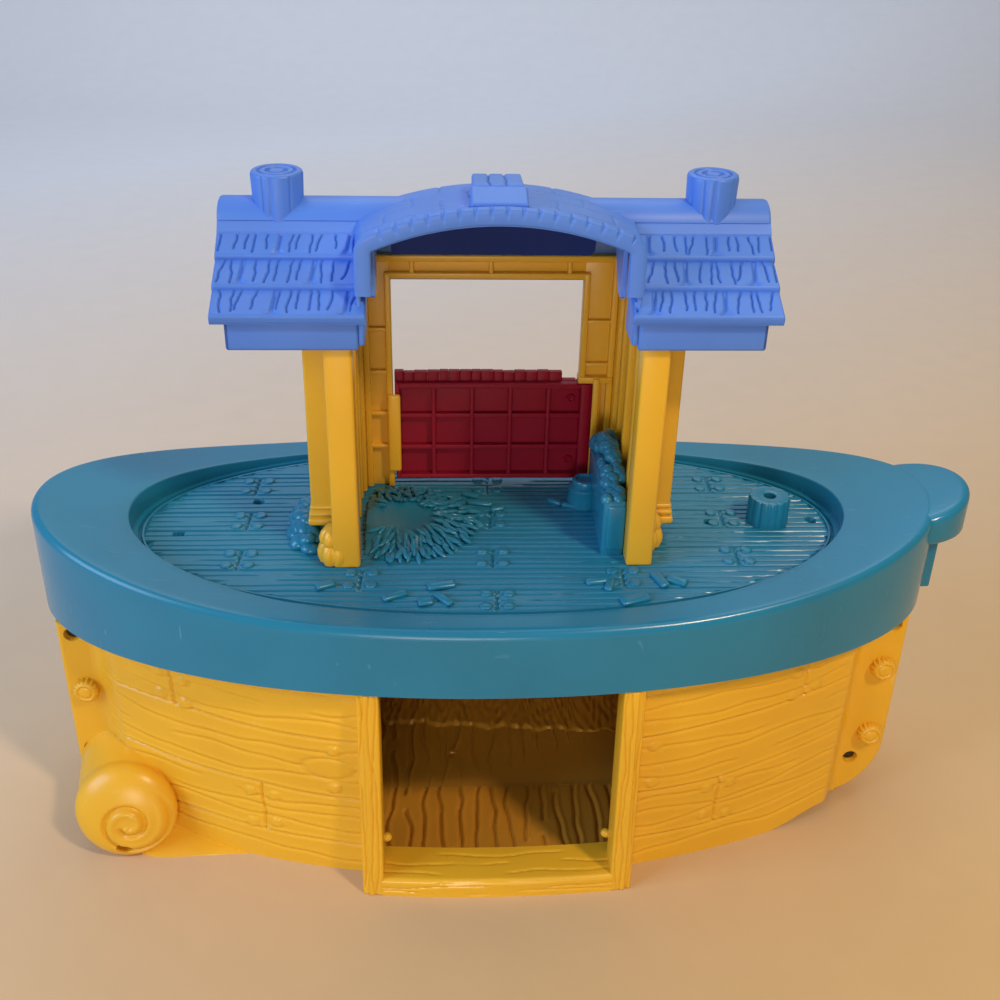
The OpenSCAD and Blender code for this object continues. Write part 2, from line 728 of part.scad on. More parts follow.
// Cross-section of the roof as a closed outline in depth and height, ridge at zero depth.
function slope_z(y) = eave_z + roof_rise * (eave_y - y) / (eave_y - slope_top_y);

module half_profile(step) {
    row = (eave_y - slope_top_y) / 3;
    polygon([[0, eave_z - 2], [eave_y, eave_z - 2], [eave_y, eave_z + step],
        [eave_y - row, slope_z(eave_y - row) + step * 0.4], [eave_y - row, slope_z(eave_y - row) + step],
        [eave_y - 2 * row, slope_z(eave_y - 2 * row) + step * 0.4],
        [eave_y - 2 * row, slope_z(eave_y - 2 * row) + step],
        [slope_top_y, slope_top_z + step * 0.4], [0, slope_top_z + step * 0.4]]);
}

module inner_profile() {
    polygon([[0, eave_z - 3], [eave_y - 2 * roof_t - 3, eave_z - 3],
        [slope_top_y, slope_top_z - roof_t * 1.2], [0, slope_top_z - roof_t * 1.2]]);
}

// Extrude a depth-height outline along the boat, both halves, to the given half length.
module along_roof(half) {
    for (m = [0, 1]) mirror([0, m, 0]) translate([-half, 0, 0]) rotate([90, 0, 90])
        linear_extrude(2 * half) children();
}

module roof_shape() {
    along_roof(roof_half_len) half_profile(row_step);
    translate([0, 0, slope_top_z + row_step * 0.4 - 1]) rotate([0, 90, 0])
        cylinder(h = 2 * roof_half_len, r = ridge_r, center = true);
}

// Arched dormer block, vault radius reduced by inset, legs moved in by inset.
module dormer_block(inset, front, back, low) {
    intersection() {
        translate([-dormer_half + inset, -dormer_d - front, low])
            cube([2 * (dormer_half - inset), dormer_d + front + back, 120]);
        translate([0, 0, vault_z - vault_r]) rotate([90, 0, 0])
            cylinder(h = 200, r = vault_r - inset, center = true, $fn = 180);
    }
}

module roof() {
    color(blue) translate([0, cab_y, 0]) {
        difference() {
            union() {
                roof_shape();
                dormer_block(0, 0, ridge_r, eave_z);
                difference() {
                    translate([-fascia_x, -fascia_y, fascia_z]) cube([2 * fascia_x, 2 * fascia_y, fascia_h]);
                    translate([-fascia_x + roof_t, -fascia_y + roof_t, fascia_z - 1])
                        cube([2 * (fascia_x - roof_t), 2 * (fascia_y - roof_t), fascia_h + 2]);
                }
                for (s = [-1, 1]) {
                    translate([s * chimney_x, 0, slope_top_z - 6])
                        cylinder(h = wall_top + chimney_up - slope_top_z + 6,
                            r1 = chimney_r - 0.6, r2 = chimney_r);
                    translate([s * (dormer_half - dormer_leg / 2) - roof_t / 2, -fascia_y, fascia_z + 2])
                        cube([roof_t, 20, fascia_h + 6]);
                }
                translate([-cap_w / 2, -dormer_d - 1.5, vault_z - 3]) cube([cap_w, cap_l, cap_h + 3]);
            }
            difference() {
                along_roof(roof_half_len - roof_t) inner_profile();
                for (p = post_at) translate([p[0] * screw_x - 4.5, p[1] * screw_y - 4.5, 0])
                    cube([9, 9, 400]);
                for (s = [-1, 1]) translate([s * (dormer_half - dormer_leg / 2) - roof_t / 2, -fascia_y, 0])
                    cube([roof_t, 20, 400]);
                translate([-dormer_half + dormer_leg, ridge_r - roof_t, wall_top + panel_up])
                    cube([2 * (dormer_half - dormer_leg), roof_t, 100]);
            }
            dormer_block(dormer_leg, 30, ridge_r - roof_t, eave_z - 30);
            for (p = post_at)
                translate([p[0] * screw_x - 4.6, p[1] * screw_y - 4.6, wall_top - 60])
                    cube([9.2, 9.2, 60]);
        }
    }
}

hull_front_shell();
hull_rear_shell();
hull_screws();
deck();
cabin_left_wall();
cabin_right_wall();
cabin_back_wall();
cabin_screws();
roof();
gate();
gate_hinge_pin();
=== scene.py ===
"""Looks of a toy ark: planked hull, lift-off deck, roofed cabin and swinging gate.

Sizes are millimetres in the part's own frame: X runs from bow to stern, minus Y is the doorway
side and Z is up from the ground. Every piece is a closed surface worked out with numpy that
stands in the place of its solid and rides on that solid's body.
"""
import logging
import math
from collections.abc import Callable, Sequence
from dataclasses import dataclass
from enum import Enum

import bpy
import numpy as np
from mathutils import Matrix, Vector


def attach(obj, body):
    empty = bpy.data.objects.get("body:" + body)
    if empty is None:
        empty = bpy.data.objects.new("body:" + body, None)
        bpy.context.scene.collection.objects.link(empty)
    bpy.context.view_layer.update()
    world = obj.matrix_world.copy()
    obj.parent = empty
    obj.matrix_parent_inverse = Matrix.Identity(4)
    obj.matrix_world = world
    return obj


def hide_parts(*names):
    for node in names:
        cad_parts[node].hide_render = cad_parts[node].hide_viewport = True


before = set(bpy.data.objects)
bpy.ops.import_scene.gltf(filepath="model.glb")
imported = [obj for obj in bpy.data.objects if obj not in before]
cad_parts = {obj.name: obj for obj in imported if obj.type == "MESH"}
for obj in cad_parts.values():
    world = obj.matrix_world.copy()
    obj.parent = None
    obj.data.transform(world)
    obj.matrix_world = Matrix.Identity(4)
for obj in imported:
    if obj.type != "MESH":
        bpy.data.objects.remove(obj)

LOG = logging.getLogger("toy_ark")
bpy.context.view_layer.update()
MM = 0.001
# Facets of each rounding of a bar.
FACETS = 3
# Pace and size of the four sines of a slow wave.
WAVE_PACE = np.array([1.0, 1.83, 3.1, 5.3])
WAVE_SIZE = np.array([0.55, 0.3, 0.18, 0.08])
# Sockets of the Mix node where it mixes colours.
MIX_SHARE, MIX_FIRST, MIX_SECOND, MIX_OUT = 0, 6, 7, 2
BOTH = (-1.0, 1.0)
UP = (0.0, 0.0, 1.0)
Array = np.ndarray
Relief = Callable[[Array, Array], Array]
Pair = tuple[float, float]
Triple = tuple[float, float, float]


class Body(Enum):
    """Bodies of the frame that pieces ride on."""

    HULL = "hull"
    DECK = "deck_and_cabin"
    GATE = "gate"


class Side(Enum):
    """Long side of the boat, as the sign of Y."""

    DOORWAY = -1.0
    REAR = 1.0


class End(Enum):
    """End of the boat, as the sign of X."""

    BOW = -1.0
    STERN = 1.0


def linear(code: str) -> tuple[float, float, float, float]:
    """Turns an sRGB hex colour into linear light.

    Args:
        code: six hex digits.

    Returns:
        Red, green, blue and alpha as Blender's sockets take them.
    """
    value = np.array([int(code[i:i + 2], 16) for i in (0, 2, 4)]) / 255.0
    light = np.where(value <= 0.04045, value / 12.92, ((value + 0.055) / 1.055) ** 2.4)
    return (*map(float, light), 1.0)


def wire(tree: bpy.types.NodeTree, kind: str, sockets: dict, **settings: object) -> bpy.types.Node:
    """Adds one shader node.

    Args:
        tree: node tree that takes the node.
        kind: Blender's name of the node.
        sockets: input name or number, with a value or the output socket that feeds it.
        settings: properties of the node itself.

    Returns:
        The new node.
    """
    node = tree.nodes.new(kind)
    for key, value in settings.items():
        setattr(node, key, value)
    for key, value in sockets.items():
        if isinstance(value, bpy.types.NodeSocket):
            tree.links.new(value, node.inputs[key])
        else:
            node.inputs[key].default_value = value
    return node


def blank(name: str) -> tuple[bpy.types.Material, bpy.types.NodeTree, bpy.types.NodeSocket]:
    """Starts a material.

    Args:
        name: name of the material.

    Returns:
        The material, its cleared node tree and the socket that gives Object coordinates.
    """
    made = bpy.data.materials.new(name)
    made.use_nodes = True
    tree = made.node_tree
    tree.nodes.clear()
    return made, tree, wire(tree, "ShaderNodeTexCoord", {}).outputs["Object"]


@dataclass(frozen=True)
class MouldedPlastic:
    """Injection-moulded polypropylene: a half-gloss skin with faint peel, rubbed edges and scuffs.

    The colour drifts a little over a hand's width, grooves get painted shade in a darker tone,
    edges that hands rub turn paler, and thin scuffs break the gloss.
    """

    name: str
    slot: str
    hue: str
    shade: str
    rub: str
    gloss: float = 0.34
    # Share of painted shade that darkens concave bends and grooves towards the shade colour.
    groove_shade: float = 0.2
    sheen: float = 0.5
    drift: float = 80.0
    peel: float = 1.3
    scuff_long: float = 14.0
    scuff_wide: float = 0.7

    def material(self) -> bpy.types.Material:
        """Returns the material, made on first use."""
        return bpy.data.materials.get(self.name) or self.mixed()

    def mixed(self) -> bpy.types.Material:
        """Makes the material: noise drives tone, gloss, scuffs and peel, and bends drive wear and painted
        shade in grooves.

        Returns:
            The new material.
        """
        made, tree, spot = blank(self.name)
        drift = wire(tree, "ShaderNodeTexNoise",
                     {"Vector": spot, "Scale": 1.0 / (self.drift * MM), "Detail": 3.0})
        peel = wire(tree, "ShaderNodeTexNoise",
                    {"Vector": spot, "Scale": 1.0 / (self.peel * MM), "Detail": 2.0})
        stretched = wire(tree, "ShaderNodeMapping",
                         {"Vector": spot, "Rotation": (0.35, 0.5, 0.8),
                          "Scale": (1.0 / (self.scuff_long * MM), 1.0 / (self.scuff_wide * MM),
                                    1.0 / (self.scuff_long * MM))})
        streak = wire(tree, "ShaderNodeTexNoise",
                      {"Vector": stretched.outputs["Vector"], "Scale": 1.0, "Detail": 1.0})
        scuff = wire(tree, "ShaderNodeMapRange",
                     {"Value": streak.outputs["Fac"], "From Min": 0.75, "From Max": 0.83,
                      "To Min": 0.0, "To Max": 0.35})
        bend = wire(tree, "ShaderNodeNewGeometry", {}).outputs["Pointiness"]
        worn = wire(tree, "ShaderNodeMapRange", {"Value": bend, "From Min": 0.54, "From Max": 0.68,
                                                 "To Min": 0.0, "To Max": 0.14})
        # Painted shade: concave bends darken towards the shade colour, standing in for the shade in grooves
        # and creases.
        painted_shade = wire(tree, "ShaderNodeMapRange", {"Value": bend, "From Min": 0.485, "From Max": 0.40,
                                                 "To Min": 0.0, "To Max": self.groove_shade})
        tone = wire(tree, "ShaderNodeMapRange",
                    {"Value": drift.outputs["Fac"], "From Min": 0.4, "From Max": 0.7,
                     "To Min": 0.0, "To Max": 0.22})
        colour = linear(self.hue)
        for share, other in ((tone, self.shade), (painted_shade, self.shade), (worn, self.rub), (scuff, self.rub)):
            colour = wire(tree, "ShaderNodeMix", {
                MIX_SHARE: share.outputs["Result"], MIX_FIRST: colour, MIX_SECOND: linear(other)},
                data_type="RGBA").outputs[MIX_OUT]
        rough = wire(tree, "ShaderNodeMapRange",
                     {"Value": drift.outputs["Fac"], "From Min": 0.3, "From Max": 0.75,
                      "To Min": self.gloss - 0.05, "To Max": self.gloss + 0.08})
        rougher = wire(tree, "ShaderNodeMath", {0: scuff.outputs["Result"], 1: 0.5,
                                                2: rough.outputs["Result"]},
                       operation="MULTIPLY_ADD")
        skin = wire(tree, "ShaderNodeBump", {"Height": peel.outputs["Fac"], "Strength": 0.12,
                                             "Distance": 0.06 * MM})
        shader = wire(tree, "ShaderNodeBsdfPrincipled",
                      {"Base Color": colour, "Roughness": rougher.outputs[0],
                       "IOR": 1.49, "Specular IOR Level": self.sheen, "Normal": skin.outputs["Normal"]})
        wire(tree, "ShaderNodeOutputMaterial", {"Surface": shader.outputs["BSDF"]})
        return made


@dataclass(frozen=True)
class BlackSteel:
    """Blackened steel of screws and pin: a dark metal whose turned skin scatters highlights."""

    name: str = "blackened_turned_steel"
    hue: str = "4E4B48"
    gloss: float = 0.32
    turning: float = 0.25

    def material(self) -> bpy.types.Material:
        """Returns the material, made on first use."""
        return bpy.data.materials.get(self.name) or self.mixed()

    def mixed(self) -> bpy.types.Material:
        """Makes the material: fine noise drives the gloss.

        Returns:
            The new material.
        """
        made, tree, spot = blank(self.name)
        turned = wire(tree, "ShaderNodeTexNoise",
                      {"Vector": spot, "Scale": 1.0 / (self.turning * MM), "Detail": 2.0})
        rough = wire(tree, "ShaderNodeMapRange",
                     {"Value": turned.outputs["Fac"], "From Min": 0.3, "From Max": 0.7,
                      "To Min": self.gloss - 0.08, "To Max": self.gloss + 0.12})
        shader = wire(tree, "ShaderNodeBsdfPrincipled",
                      {"Base Color": linear(self.hue), "Metallic": 1.0,
                       "Roughness": rough.outputs["Result"]})
        wire(tree, "ShaderNodeOutputMaterial", {"Surface": shader.outputs["BSDF"]})
        return made


# Sunny half gloss of hull and cabin, with painted shade that turns its cuts orange, and straw pale where
# hands rub it.
YELLOW = MouldedPlastic("moulded_yellow_polypropylene", "yellow_plastic",
                        "F0B92E", "B87C12", "F6D684", gloss=0.30)
# The same plastic inside the hold, browned as painted shade for the shaded hold, with strong painted shade in
# the deep grain.
SHADED_HOLD_YELLOW = MouldedPlastic("moulded_yellow_polypropylene_painted_hold_shade", "yellow_plastic",
                      "DA9A34", "8A520F", "EBC078", gloss=0.30, groove_shade=0.6)
# The deck's glossier skin, with strong painted shade that turns its cuts nearly black between the shining
# boards.
TEAL = MouldedPlastic("moulded_teal_polypropylene", "teal_plastic",
                      "2080A4", "124C66", "6FB0BE", gloss=0.22, groove_shade=0.6)
# The roof's duller skin, with painted shade that turns the strokes in the shingles navy, and chalky edges.
BLUE = MouldedPlastic("moulded_blue_polypropylene", "blue_plastic",
                      "5488E6", "284E9E", "8FB4F6", gloss=0.42, groove_shade=0.6)
# Painted shade for the panel under the vault: the roof's blue darkened to a deep, dull navy that stands in
# for the shadow there, with hardly a highlight.
VAULT_SHADE_BLUE = MouldedPlastic("moulded_blue_polypropylene_painted_vault_shade", "blue_plastic",
                        "152C74", "0E1E50", "30488C", gloss=0.5, sheen=0.15)
# The gate's wine red, which throws back little light.
MAROON = MouldedPlastic("moulded_maroon_polypropylene", "maroon_plastic",
                        "960F2C", "4A0814", "B05A64", gloss=0.36, sheen=0.12)
STEEL = BlackSteel()


def smooth(x: Array, lo: float, hi: float) -> Array:
    """Eased step from 0 at lo to 1 at hi: three times the share squared less twice its cube."""
    share = np.clip((x - lo) / (hi - lo), 0.0, 1.0)
    return share * share * (3.0 - 2.0 * share)


def wobble(x: Array, seed: int, span: float) -> Array:
    """Random slow wave of about plus or minus one: four sines of falling length, seeded phases."""
    phase = np.random.default_rng(seed).uniform(0.0, math.tau, len(WAVE_PACE))
    return (WAVE_SIZE * np.sin(x[..., None] * (WAVE_PACE * math.tau / span) + phase)).sum(-1)


def ditch(d: Array, depth: float | Array, width: float) -> Array:
    """Rounded groove: minus the depth times a bell curve of distance over width."""
    return -depth * np.exp(-np.square(d / width))


def seam(d: Array, depth: float | Array, width: float) -> Array:
    """Groove with a raised lip on its upper side: one bell curve down and a weaker one up."""
    return ditch(d, depth, width) - ditch(d - 2.2 * width, 0.4 * depth, 1.2 * width)


def rounding(gap: Array, r: float) -> Array:
    """Drop of a rounded edge: a quarter circle of radius r in the distance to the edge."""
    return np.sqrt(r * r - np.square(np.clip(r - gap, 0.0, r))) - r


def eased(u: Array, v: Array, w: float, h: float, r: float) -> Array:
    """Drop of an oblong's rounded edges, from the distance to the nearest of its four sides."""
    return rounding(np.minimum(np.minimum(u, w - u), np.minimum(v, h - v)), r)


def ticks(lo: float, hi: float, step: float, near: Sequence[float] = (), fine: float = 0.4,
          reach: float = 1.8) -> Array:
    """Sample places along a line, with finer ones around chosen places.

    Args:
        lo: first place.
        hi: last place.
        step: even spacing.
        near: places that get the finer spacing.
        fine: finer spacing.
        reach: half width of each finer stretch.

    Returns:
        Rising places, lo and hi among them.
    """
    rows = [np.linspace(lo, hi, max(2, round((hi - lo) / step) + 1))]
    rows += [np.arange(-reach, reach + 1e-6, fine) + place for place in near]
    every = np.unique(np.clip(np.concatenate(rows), lo, hi))
    kept = every[np.concatenate(([True], np.diff(every) > 0.4 * fine))]
    kept[-1] = hi
    return kept


class Skin:
    """Pool of closed surfaces that becomes one mesh."""

    def __init__(self) -> None:
        """Starts empty."""
        self.points: list[Array] = []
        self.faces: list[Array] = []
        self.total = 0

    def put(self, points: Array, faces: list[Array]) -> None:
        """Adds one closed surface, turned outward by the sign of its volume.

        Args:
            points: places of the corners.
            faces: arrays of corner numbers, one row a face.
        """
        middle = points - points.mean(0)
        volume = 0.0
        for face in faces:
            corner = middle[face]
            volume += float(np.einsum("ia,ija->", corner[:, 0], np.cross(corner[:, 1:-1], corner[:, 2:])))
        self.points.append(points)
        self.faces += [(face if volume > 0.0 else face[:, ::-1]) + self.total for face in faces]
        self.total += len(points)

    @staticmethod
    def lattice(nu: int, nv: int, wrap_u: bool = False, wrap_v: bool = False) -> Array:
        """Corner numbers of the squares of a grid.

        Args:
            nu: places along the first way.
            nv: places along the second way.
            wrap_u: whether the first way closes on itself.
            wrap_v: whether the second way closes on itself.

        Returns:
            Four corner numbers a row.
        """
        i, j = np.meshgrid(np.arange(nu - (not wrap_u)), np.arange(nv - (not wrap_v)), indexing="ij")
        i, j = i.ravel(), j.ravel()
        k, m = (i + 1) % nu, (j + 1) % nv
        return np.stack([i * nv + j, k * nv + j, k * nv + m, i * nv + m], 1)

    @staticmethod
    def border(nu: int, nv: int) -> Array:
        """Corner numbers round the edge of a grid of nu by nv places, in the squares' sense."""
        grid = np.arange(nu * nv).reshape(nu, nv)
        return np.concatenate([grid[:-1, 0], grid[-1, :-1], grid[:0:-1, -1], grid[0, :0:-1]])

    def solid(self, front: Array, back: Array) -> None:
        """Closes two equal grids into a wall by a strip round their edges.

        Args:
            front: outer grid of places.
            back: inner grid of places.
        """
        nu, nv = front.shape[:2]
        quads, ring = self.lattice(nu, nv), self.border(nu, nv)
        after, shift = np.roll(ring, -1), nu * nv
        strip = np.stack([after, ring, ring + shift, after + shift], 1)
        points = np.concatenate([front.reshape(-1, 3), back.reshape(-1, 3)])
        self.put(points, [quads, quads[:, ::-1] + shift, strip])

    def backed(self, front: Array, rim: Array) -> None:
        """Closes a grid by a strip down to a flat back.

        Args:
            front: carved grid of places.
            rim: places of the back's edge, in the order of the grid's border.
        """
        nu, nv = front.shape[:2]
        ring = self.border(nu, nv)
        low = np.arange(len(ring)) + nu * nv
        strip = np.stack([np.roll(ring, -1), ring, low, np.roll(low, -1)], 1)
        self.put(np.concatenate([front.reshape(-1, 3), rim]),
                 [self.lattice(nu, nv), strip, low[None, ::-1]])

    def slab(self, origin: Triple, across: Triple, along: Triple, u: Array, v: Array, height: Relief,
             depth: float) -> None:
        """Carved slab: origin plus u across plus v along, raised by height along their cross product.

        Args:
            origin: place of u and v zero.
            across: direction of u.
            along: direction of v.
            u: sample places across.
            v: sample places along.
            height: relief over the flat face.
            depth: distance of the flat back behind the face.
        """
        across, along = np.array(across, float), np.array(along, float)
        out = np.cross(across, along)
        uu, vv = np.meshgrid(u, v, indexing="ij")
        flat = np.array(origin, float) + uu[..., None] * across + vv[..., None] * along
        ring = self.border(len(u), len(v))
        self.backed(flat + height(uu, vv)[..., None] * out, flat.reshape(-1, 3)[ring] - depth * out)

    def tube(self, rings: Array, loop: bool = False) -> None:
        """Skins a row of closed rings, and caps the ends with fans unless the row is a loop.

        Args:
            rings: grid of places, one ring a row.
            loop: whether the last ring joins the first.
        """
        n, m = rings.shape[:2]
        points = rings.reshape(-1, 3)
        faces = [self.lattice(n, m, loop, True)]
        if not loop:
            j = np.arange(m)
            after, last = (j + 1) % m, (n - 1) * m
            faces += [np.stack([np.full(m, n * m), j, after], 1),
                      np.stack([np.full(m, n * m + 1), last + after, last + j], 1)]
            points = np.concatenate([points, rings[:1].mean(1), rings[-1:].mean(1)])
        self.put(points, faces)

    def prism(self, ring: Array, ends: Sequence[float], way: int = 0) -> None:
        """Carries a closed outline straight along the axis that way numbers, from one end to the other."""
        self.tube(np.stack([np.insert(ring, way, place, 1) for place in ends]))

    def bar(self, one: Triple, other: Triple, r: float = 1.0, turn: Matrix | None = None) -> None:
        """Box with rounded edges: rounded oblongs that shrink by a quarter circle at both ends.

        Args:
            one: any corner.
            other: the corner across from it.
            r: edge radius.
            turn: place and turn to apply at the end.
        """
        lo, hi = np.sort(np.array([one, other], float), axis=0)
        r = min(r, 0.49 * float((hi - lo).min()))
        bend = np.linspace(0.0, math.pi / 2.0, FACETS + 1)
        inset = np.concatenate([r * (1.0 - np.sin(bend)), r * (1.0 - np.sin(bend[::-1]))])
        z = np.concatenate([lo[2] + r * (1.0 - np.cos(bend)), hi[2] - r * (1.0 - np.cos(bend[::-1]))])
        angle = np.concatenate([bend + q * math.pi / 2.0 for q in range(4)])
        corner = np.repeat(np.array([[1, 1], [0, 1], [0, 0], [1, 0]]), FACETS + 1, 0)
        centre = np.where(corner, hi[:2] - r, lo[:2] + r)
        reach = np.maximum(r - inset, 0.04 * r)[:, None, None]
        flat = centre + reach * np.stack([np.cos(angle), np.sin(angle)], 1)
        rings = np.concatenate([flat, np.broadcast_to(z[:, None, None], (*flat.shape[:2], 1))], 2)
        if turn is not None:
            move = np.array(turn)
            rings = rings @ move[:3, :3].T + move[:3, 3]
        self.tube(rings)

    def spun(self, origin: Triple, axis: Triple, profile: Sequence[tuple[float, float]], count: int = 32,
             flute: Relief | None = None) -> None:
        """Turned solid: each profile point of radius and height swept round the axis.

        Args:
            origin: place of height zero on the axis.
            axis: direction of the axis.
            profile: radius and height from one end to the other.
            count: points round the axis.
            flute: change of the radius by angle and height.
        """
        axis = np.array(axis, float) / np.linalg.norm(axis)
        first = np.cross(axis, [0.3, 0.9, 0.2] if abs(axis[1]) < 0.9 else [1.0, 0.1, 0.2])
        first /= np.linalg.norm(first)
        second = np.cross(axis, first)
        radius, height = np.array(profile, float).T
        angle = np.arange(count) * math.tau / count
        hh, aa = np.meshgrid(height, angle, indexing="ij")
        rr = np.broadcast_to(radius[:, None], hh.shape)
        if flute is not None:
            rr = rr + flute(aa, hh) * np.minimum(1.0, rr / max(radius.max(), 1e-6))
        self.tube(np.array(origin, float) + rr[..., None] * (
            np.cos(aa)[..., None] * first + np.sin(aa)[..., None] * second) + hh[..., None] * axis)

    def ball(self, centre: Triple, radii: Triple, n: int = 10, m: int = 16,
             turn: Matrix | None = None) -> None:
        """Egg shape: a ring of radius sine at height cosine for each polar angle, scaled by radii.

        Args:
            centre: middle of the shape.
            radii: half lengths along the three axes.
            n: rings from pole to pole.
            m: points of a ring.
            turn: turn of the shape about its middle.
        """
        pole = 0.12
        polar, angle = np.meshgrid(np.linspace(pole, math.pi - pole, n), np.arange(m) * math.tau / m,
                                   indexing="ij")
        unit = np.stack([np.sin(polar) * np.cos(angle), np.sin(polar) * np.sin(angle), np.cos(polar)], -1)
        shape = unit * np.array(radii, float)
        if turn is not None:
            shape = shape @ np.array(turn)[:3, :3].T
        self.tube(shape + np.array(centre, float))

    def piece(self, name: str, finish: MouldedPlastic, body: Body, node: str, sharp: float = 40.0) -> None:
        """Makes the mesh object, dresses it and hands it to the frame.

        Args:
            name: plain name of the piece.
            finish: finish that dresses it.
            body: body that it rides on.
            node: solid that it stands for.
            sharp: edge angle in degrees above which shading breaks.
        """
        size = np.concatenate([np.full(len(face), face.shape[1]) for face in self.faces])
        mesh = bpy.data.meshes.new(name)
        points = np.concatenate(self.points) * MM
        corners = np.concatenate([face.ravel() for face in self.faces])
        mesh.vertices.add(len(points))
        mesh.vertices.foreach_set("co", points.ravel())
        mesh.loops.add(len(corners))
        mesh.loops.foreach_set("vertex_index", corners)
        mesh.polygons.add(len(size))
        mesh.polygons.foreach_set("loop_start", np.concatenate(([0], np.cumsum(size)[:-1])))
        mesh.polygons.foreach_set("use_smooth", np.ones(len(size), bool))
        mesh.update(calc_edges=True)
        mesh.validate()
        mesh.set_sharp_from_angle(angle=math.radians(sharp))
        mesh.materials.append(finish.material())
        made = bpy.data.objects.new(name, mesh)
        bpy.context.scene.collection.objects.link(made)
        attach(made, body.value)
        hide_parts(node)
        LOG.info("%s: %d points, %d faces", name, len(points), len(size))


@dataclass
class Hull:
    """Planked hull of two shells with doorway, end plates, bolt heads and bow scrolls."""

    half_len: float = 185.0
    half_wid: float = 86.0
    side_r: float = 395.0
    flare: float = 4.5
    top: float = 145.6
    wall: float = 2.5
    floor_t: float = 3.0
    joint_y: float = -26.5
    block_half: float = 34.5
    block_top: float = 114.6
    bow_reach: float = 19.0
    stern_reach: float = 17.5
    stern_corner: float = 37.0
    bow_blend: tuple[float, float] = (175.0, 190.0)
    stern_blend: tuple[float, float] = (171.5, 181.5)
    bilge: float = 6.9
    seam_z: tuple[float, ...] = (17.0, 47.0, 82.0, 106.0)
    grain_z: tuple[float, ...] = (8.0, 26.0, 33.0, 40.5, 55.5, 64.0, 73.0, 89.5, 97.5, 111.5)
    door_x: float = 2.0
    door_half: float = 53.5
    door_post: float = 10.0
    door_y: float = -97.0
    door_lean: float = 2.8
    sill_h: float = 10.0
    sill_d: float = 22.0
    sill_bow: float = 2.2
    scroll_at: Triple = (-176.5, 71.0, 26.5)
    scroll_r: float = 24.5
    scroll_round: float = 11.5
    scroll_lean: float = 14.0
    scroll_power: float = 2.2
    scroll_eye: Pair = (3.2, -4.2)
    scroll_slot: Pair = (-0.5, -17.9)
    scroll_seat: Triple = (-179.0, 31.0, 29.0)
    scroll_seat_r: float = 25.0
    plank_rise: float = 13.0
    rise_from: float = 60.0
    rise_run: float = 125.0
    seam_cut: Pair = (1.0, 0.85)
    grain_cut: Pair = (0.6, 0.95)
    butt_cut: Pair = (1.1, 0.75)
    butts: tuple[Triple, ...] = ((147.0, 82.0, 106.0), (108.5, 17.0, 47.0))
    knot_at: Pair = (-76.0, 64.0)
    knot_size: Pair = (12.5, 6.0)
    nails: tuple[Pair, ...] = (
        (141.5, 89.0), (141.5, 102.0), (153.0, 92.0), (153.0, 105.0), (114.5, 43.0),
        (114.5, 23.0), (102.8, 42.5), (102.8, 25.0), (73.5, 75.5), (74.0, 52.5))
    carved_top: Pair = (112.0, 114.5)
    hole_r: float = 3.0
    hole_deep: float = 5.0
    hold_holes: tuple[Pair, ...] = ((-18.3, -1.8), (16.9, -1.0))
    bolt_profile: tuple[Pair, ...] = (
        (5.9, -1.0), (5.9, 2.6), (5.6, 3.6), (4.9, 4.4), (4.2, 4.7), (3.7, 4.2), (3.2, 4.1), (2.6, 4.6),
        (1.6, 4.8), (0.5, 4.8))

    def breadth(self, x: Array, z: Array, out: float = 0.0) -> Array:
        """Half breadth: a circle of the side radius, which grows with height, less its centre's offset."""
        r = self.side_r + out + self.flare * z / self.top
        return np.sqrt(np.square(r) - x * x) - self.side_r + self.half_wid

    def flow(self, x: Array, z: Array, out: float = 0.0) -> Array:
        """Half breadth that eases into the end plates: a blend of the circle and their half thickness."""
        share = smooth(-x, *self.bow_blend) + smooth(x, *self.stern_blend)
        return self.breadth(x, z, out) * (1.0 - share) + (self.block_half + 0.1 + out) * share

    def keel(self, x: Array) -> Array:
        """Height of the hull's foot: a slow rise off the ground, then a quarter circle to the stern's edge.

        Args:
            x: stations along the boat.

        Returns:
            Height at each station.
        """
        r = self.stern_corner
        run = np.clip(x - self.half_len - self.stern_reach + r, 0.0, 0.99 * r)
        lift = self.bilge * smooth(x, 140.0, 170.0) * smooth(-x, -self.stern_blend[1], -174.0)
        return r - np.sqrt(r * r - run * run) + lift

    def planks(self, x: Array, z: Array) -> Array:
        """Relief of the planks: seams and grain that rise to the ends, butt joints, nails and a knot.

        Args:
            x: stations along the boat.
            z: heights.

        Returns:
            Height over the plain side.
        """
        s = np.abs(x)
        rise = self.plank_rise * np.square(np.clip((s - self.rise_from) / self.rise_run, 0.0, 1.0))
        level = z - rise * (1.0 - 0.35 * z / 115.0)
        h = np.zeros_like(x)
        for i, place in enumerate(self.seam_z):
            h += seam(level - place - 0.9 * wobble(x, 10 + i, 150.0), *self.seam_cut)
        for i, place in enumerate(self.grain_z):
            shown = smooth(wobble(x, 40 + i, 170.0), -0.7, -0.4)
            h += seam(level - place - 2.9 * wobble(x, 70 + i, 125.0), *self.grain_cut) * shown
        for place, low, high in self.butts:
            held = smooth(level, low - 0.6, low + 0.6) * smooth(-level, -high - 0.6, -high + 0.6)
            h += ditch(s - place - 0.5 * wobble(z, 5, 30.0), *self.butt_cut) * held
        knot = np.hypot((x - self.knot_at[0]) / self.knot_size[0], (z - self.knot_at[1]) / self.knot_size[1])
        h = h * smooth(knot, 0.8, 1.15) + ditch((knot - 1.0) * 6.0, 0.7, 0.8)
        for nail_s, nail_z in self.nails:
            far = np.hypot(s - nail_s, z - nail_z)
            h = h * smooth(far, 2.6, 4.0) + 0.75 * smooth(-far, -3.0, -2.1) + ditch(far - 3.5, 0.3, 0.5)
        bow, stern = self.bow_blend, self.stern_blend[0]
        ends = smooth(x, -bow[1] + 4.0, -bow[0]) * smooth(-x, -stern - 2.0, -stern + 4.0)
        return h * smooth(-z, -self.carved_top[1], -self.carved_top[0]) * ends

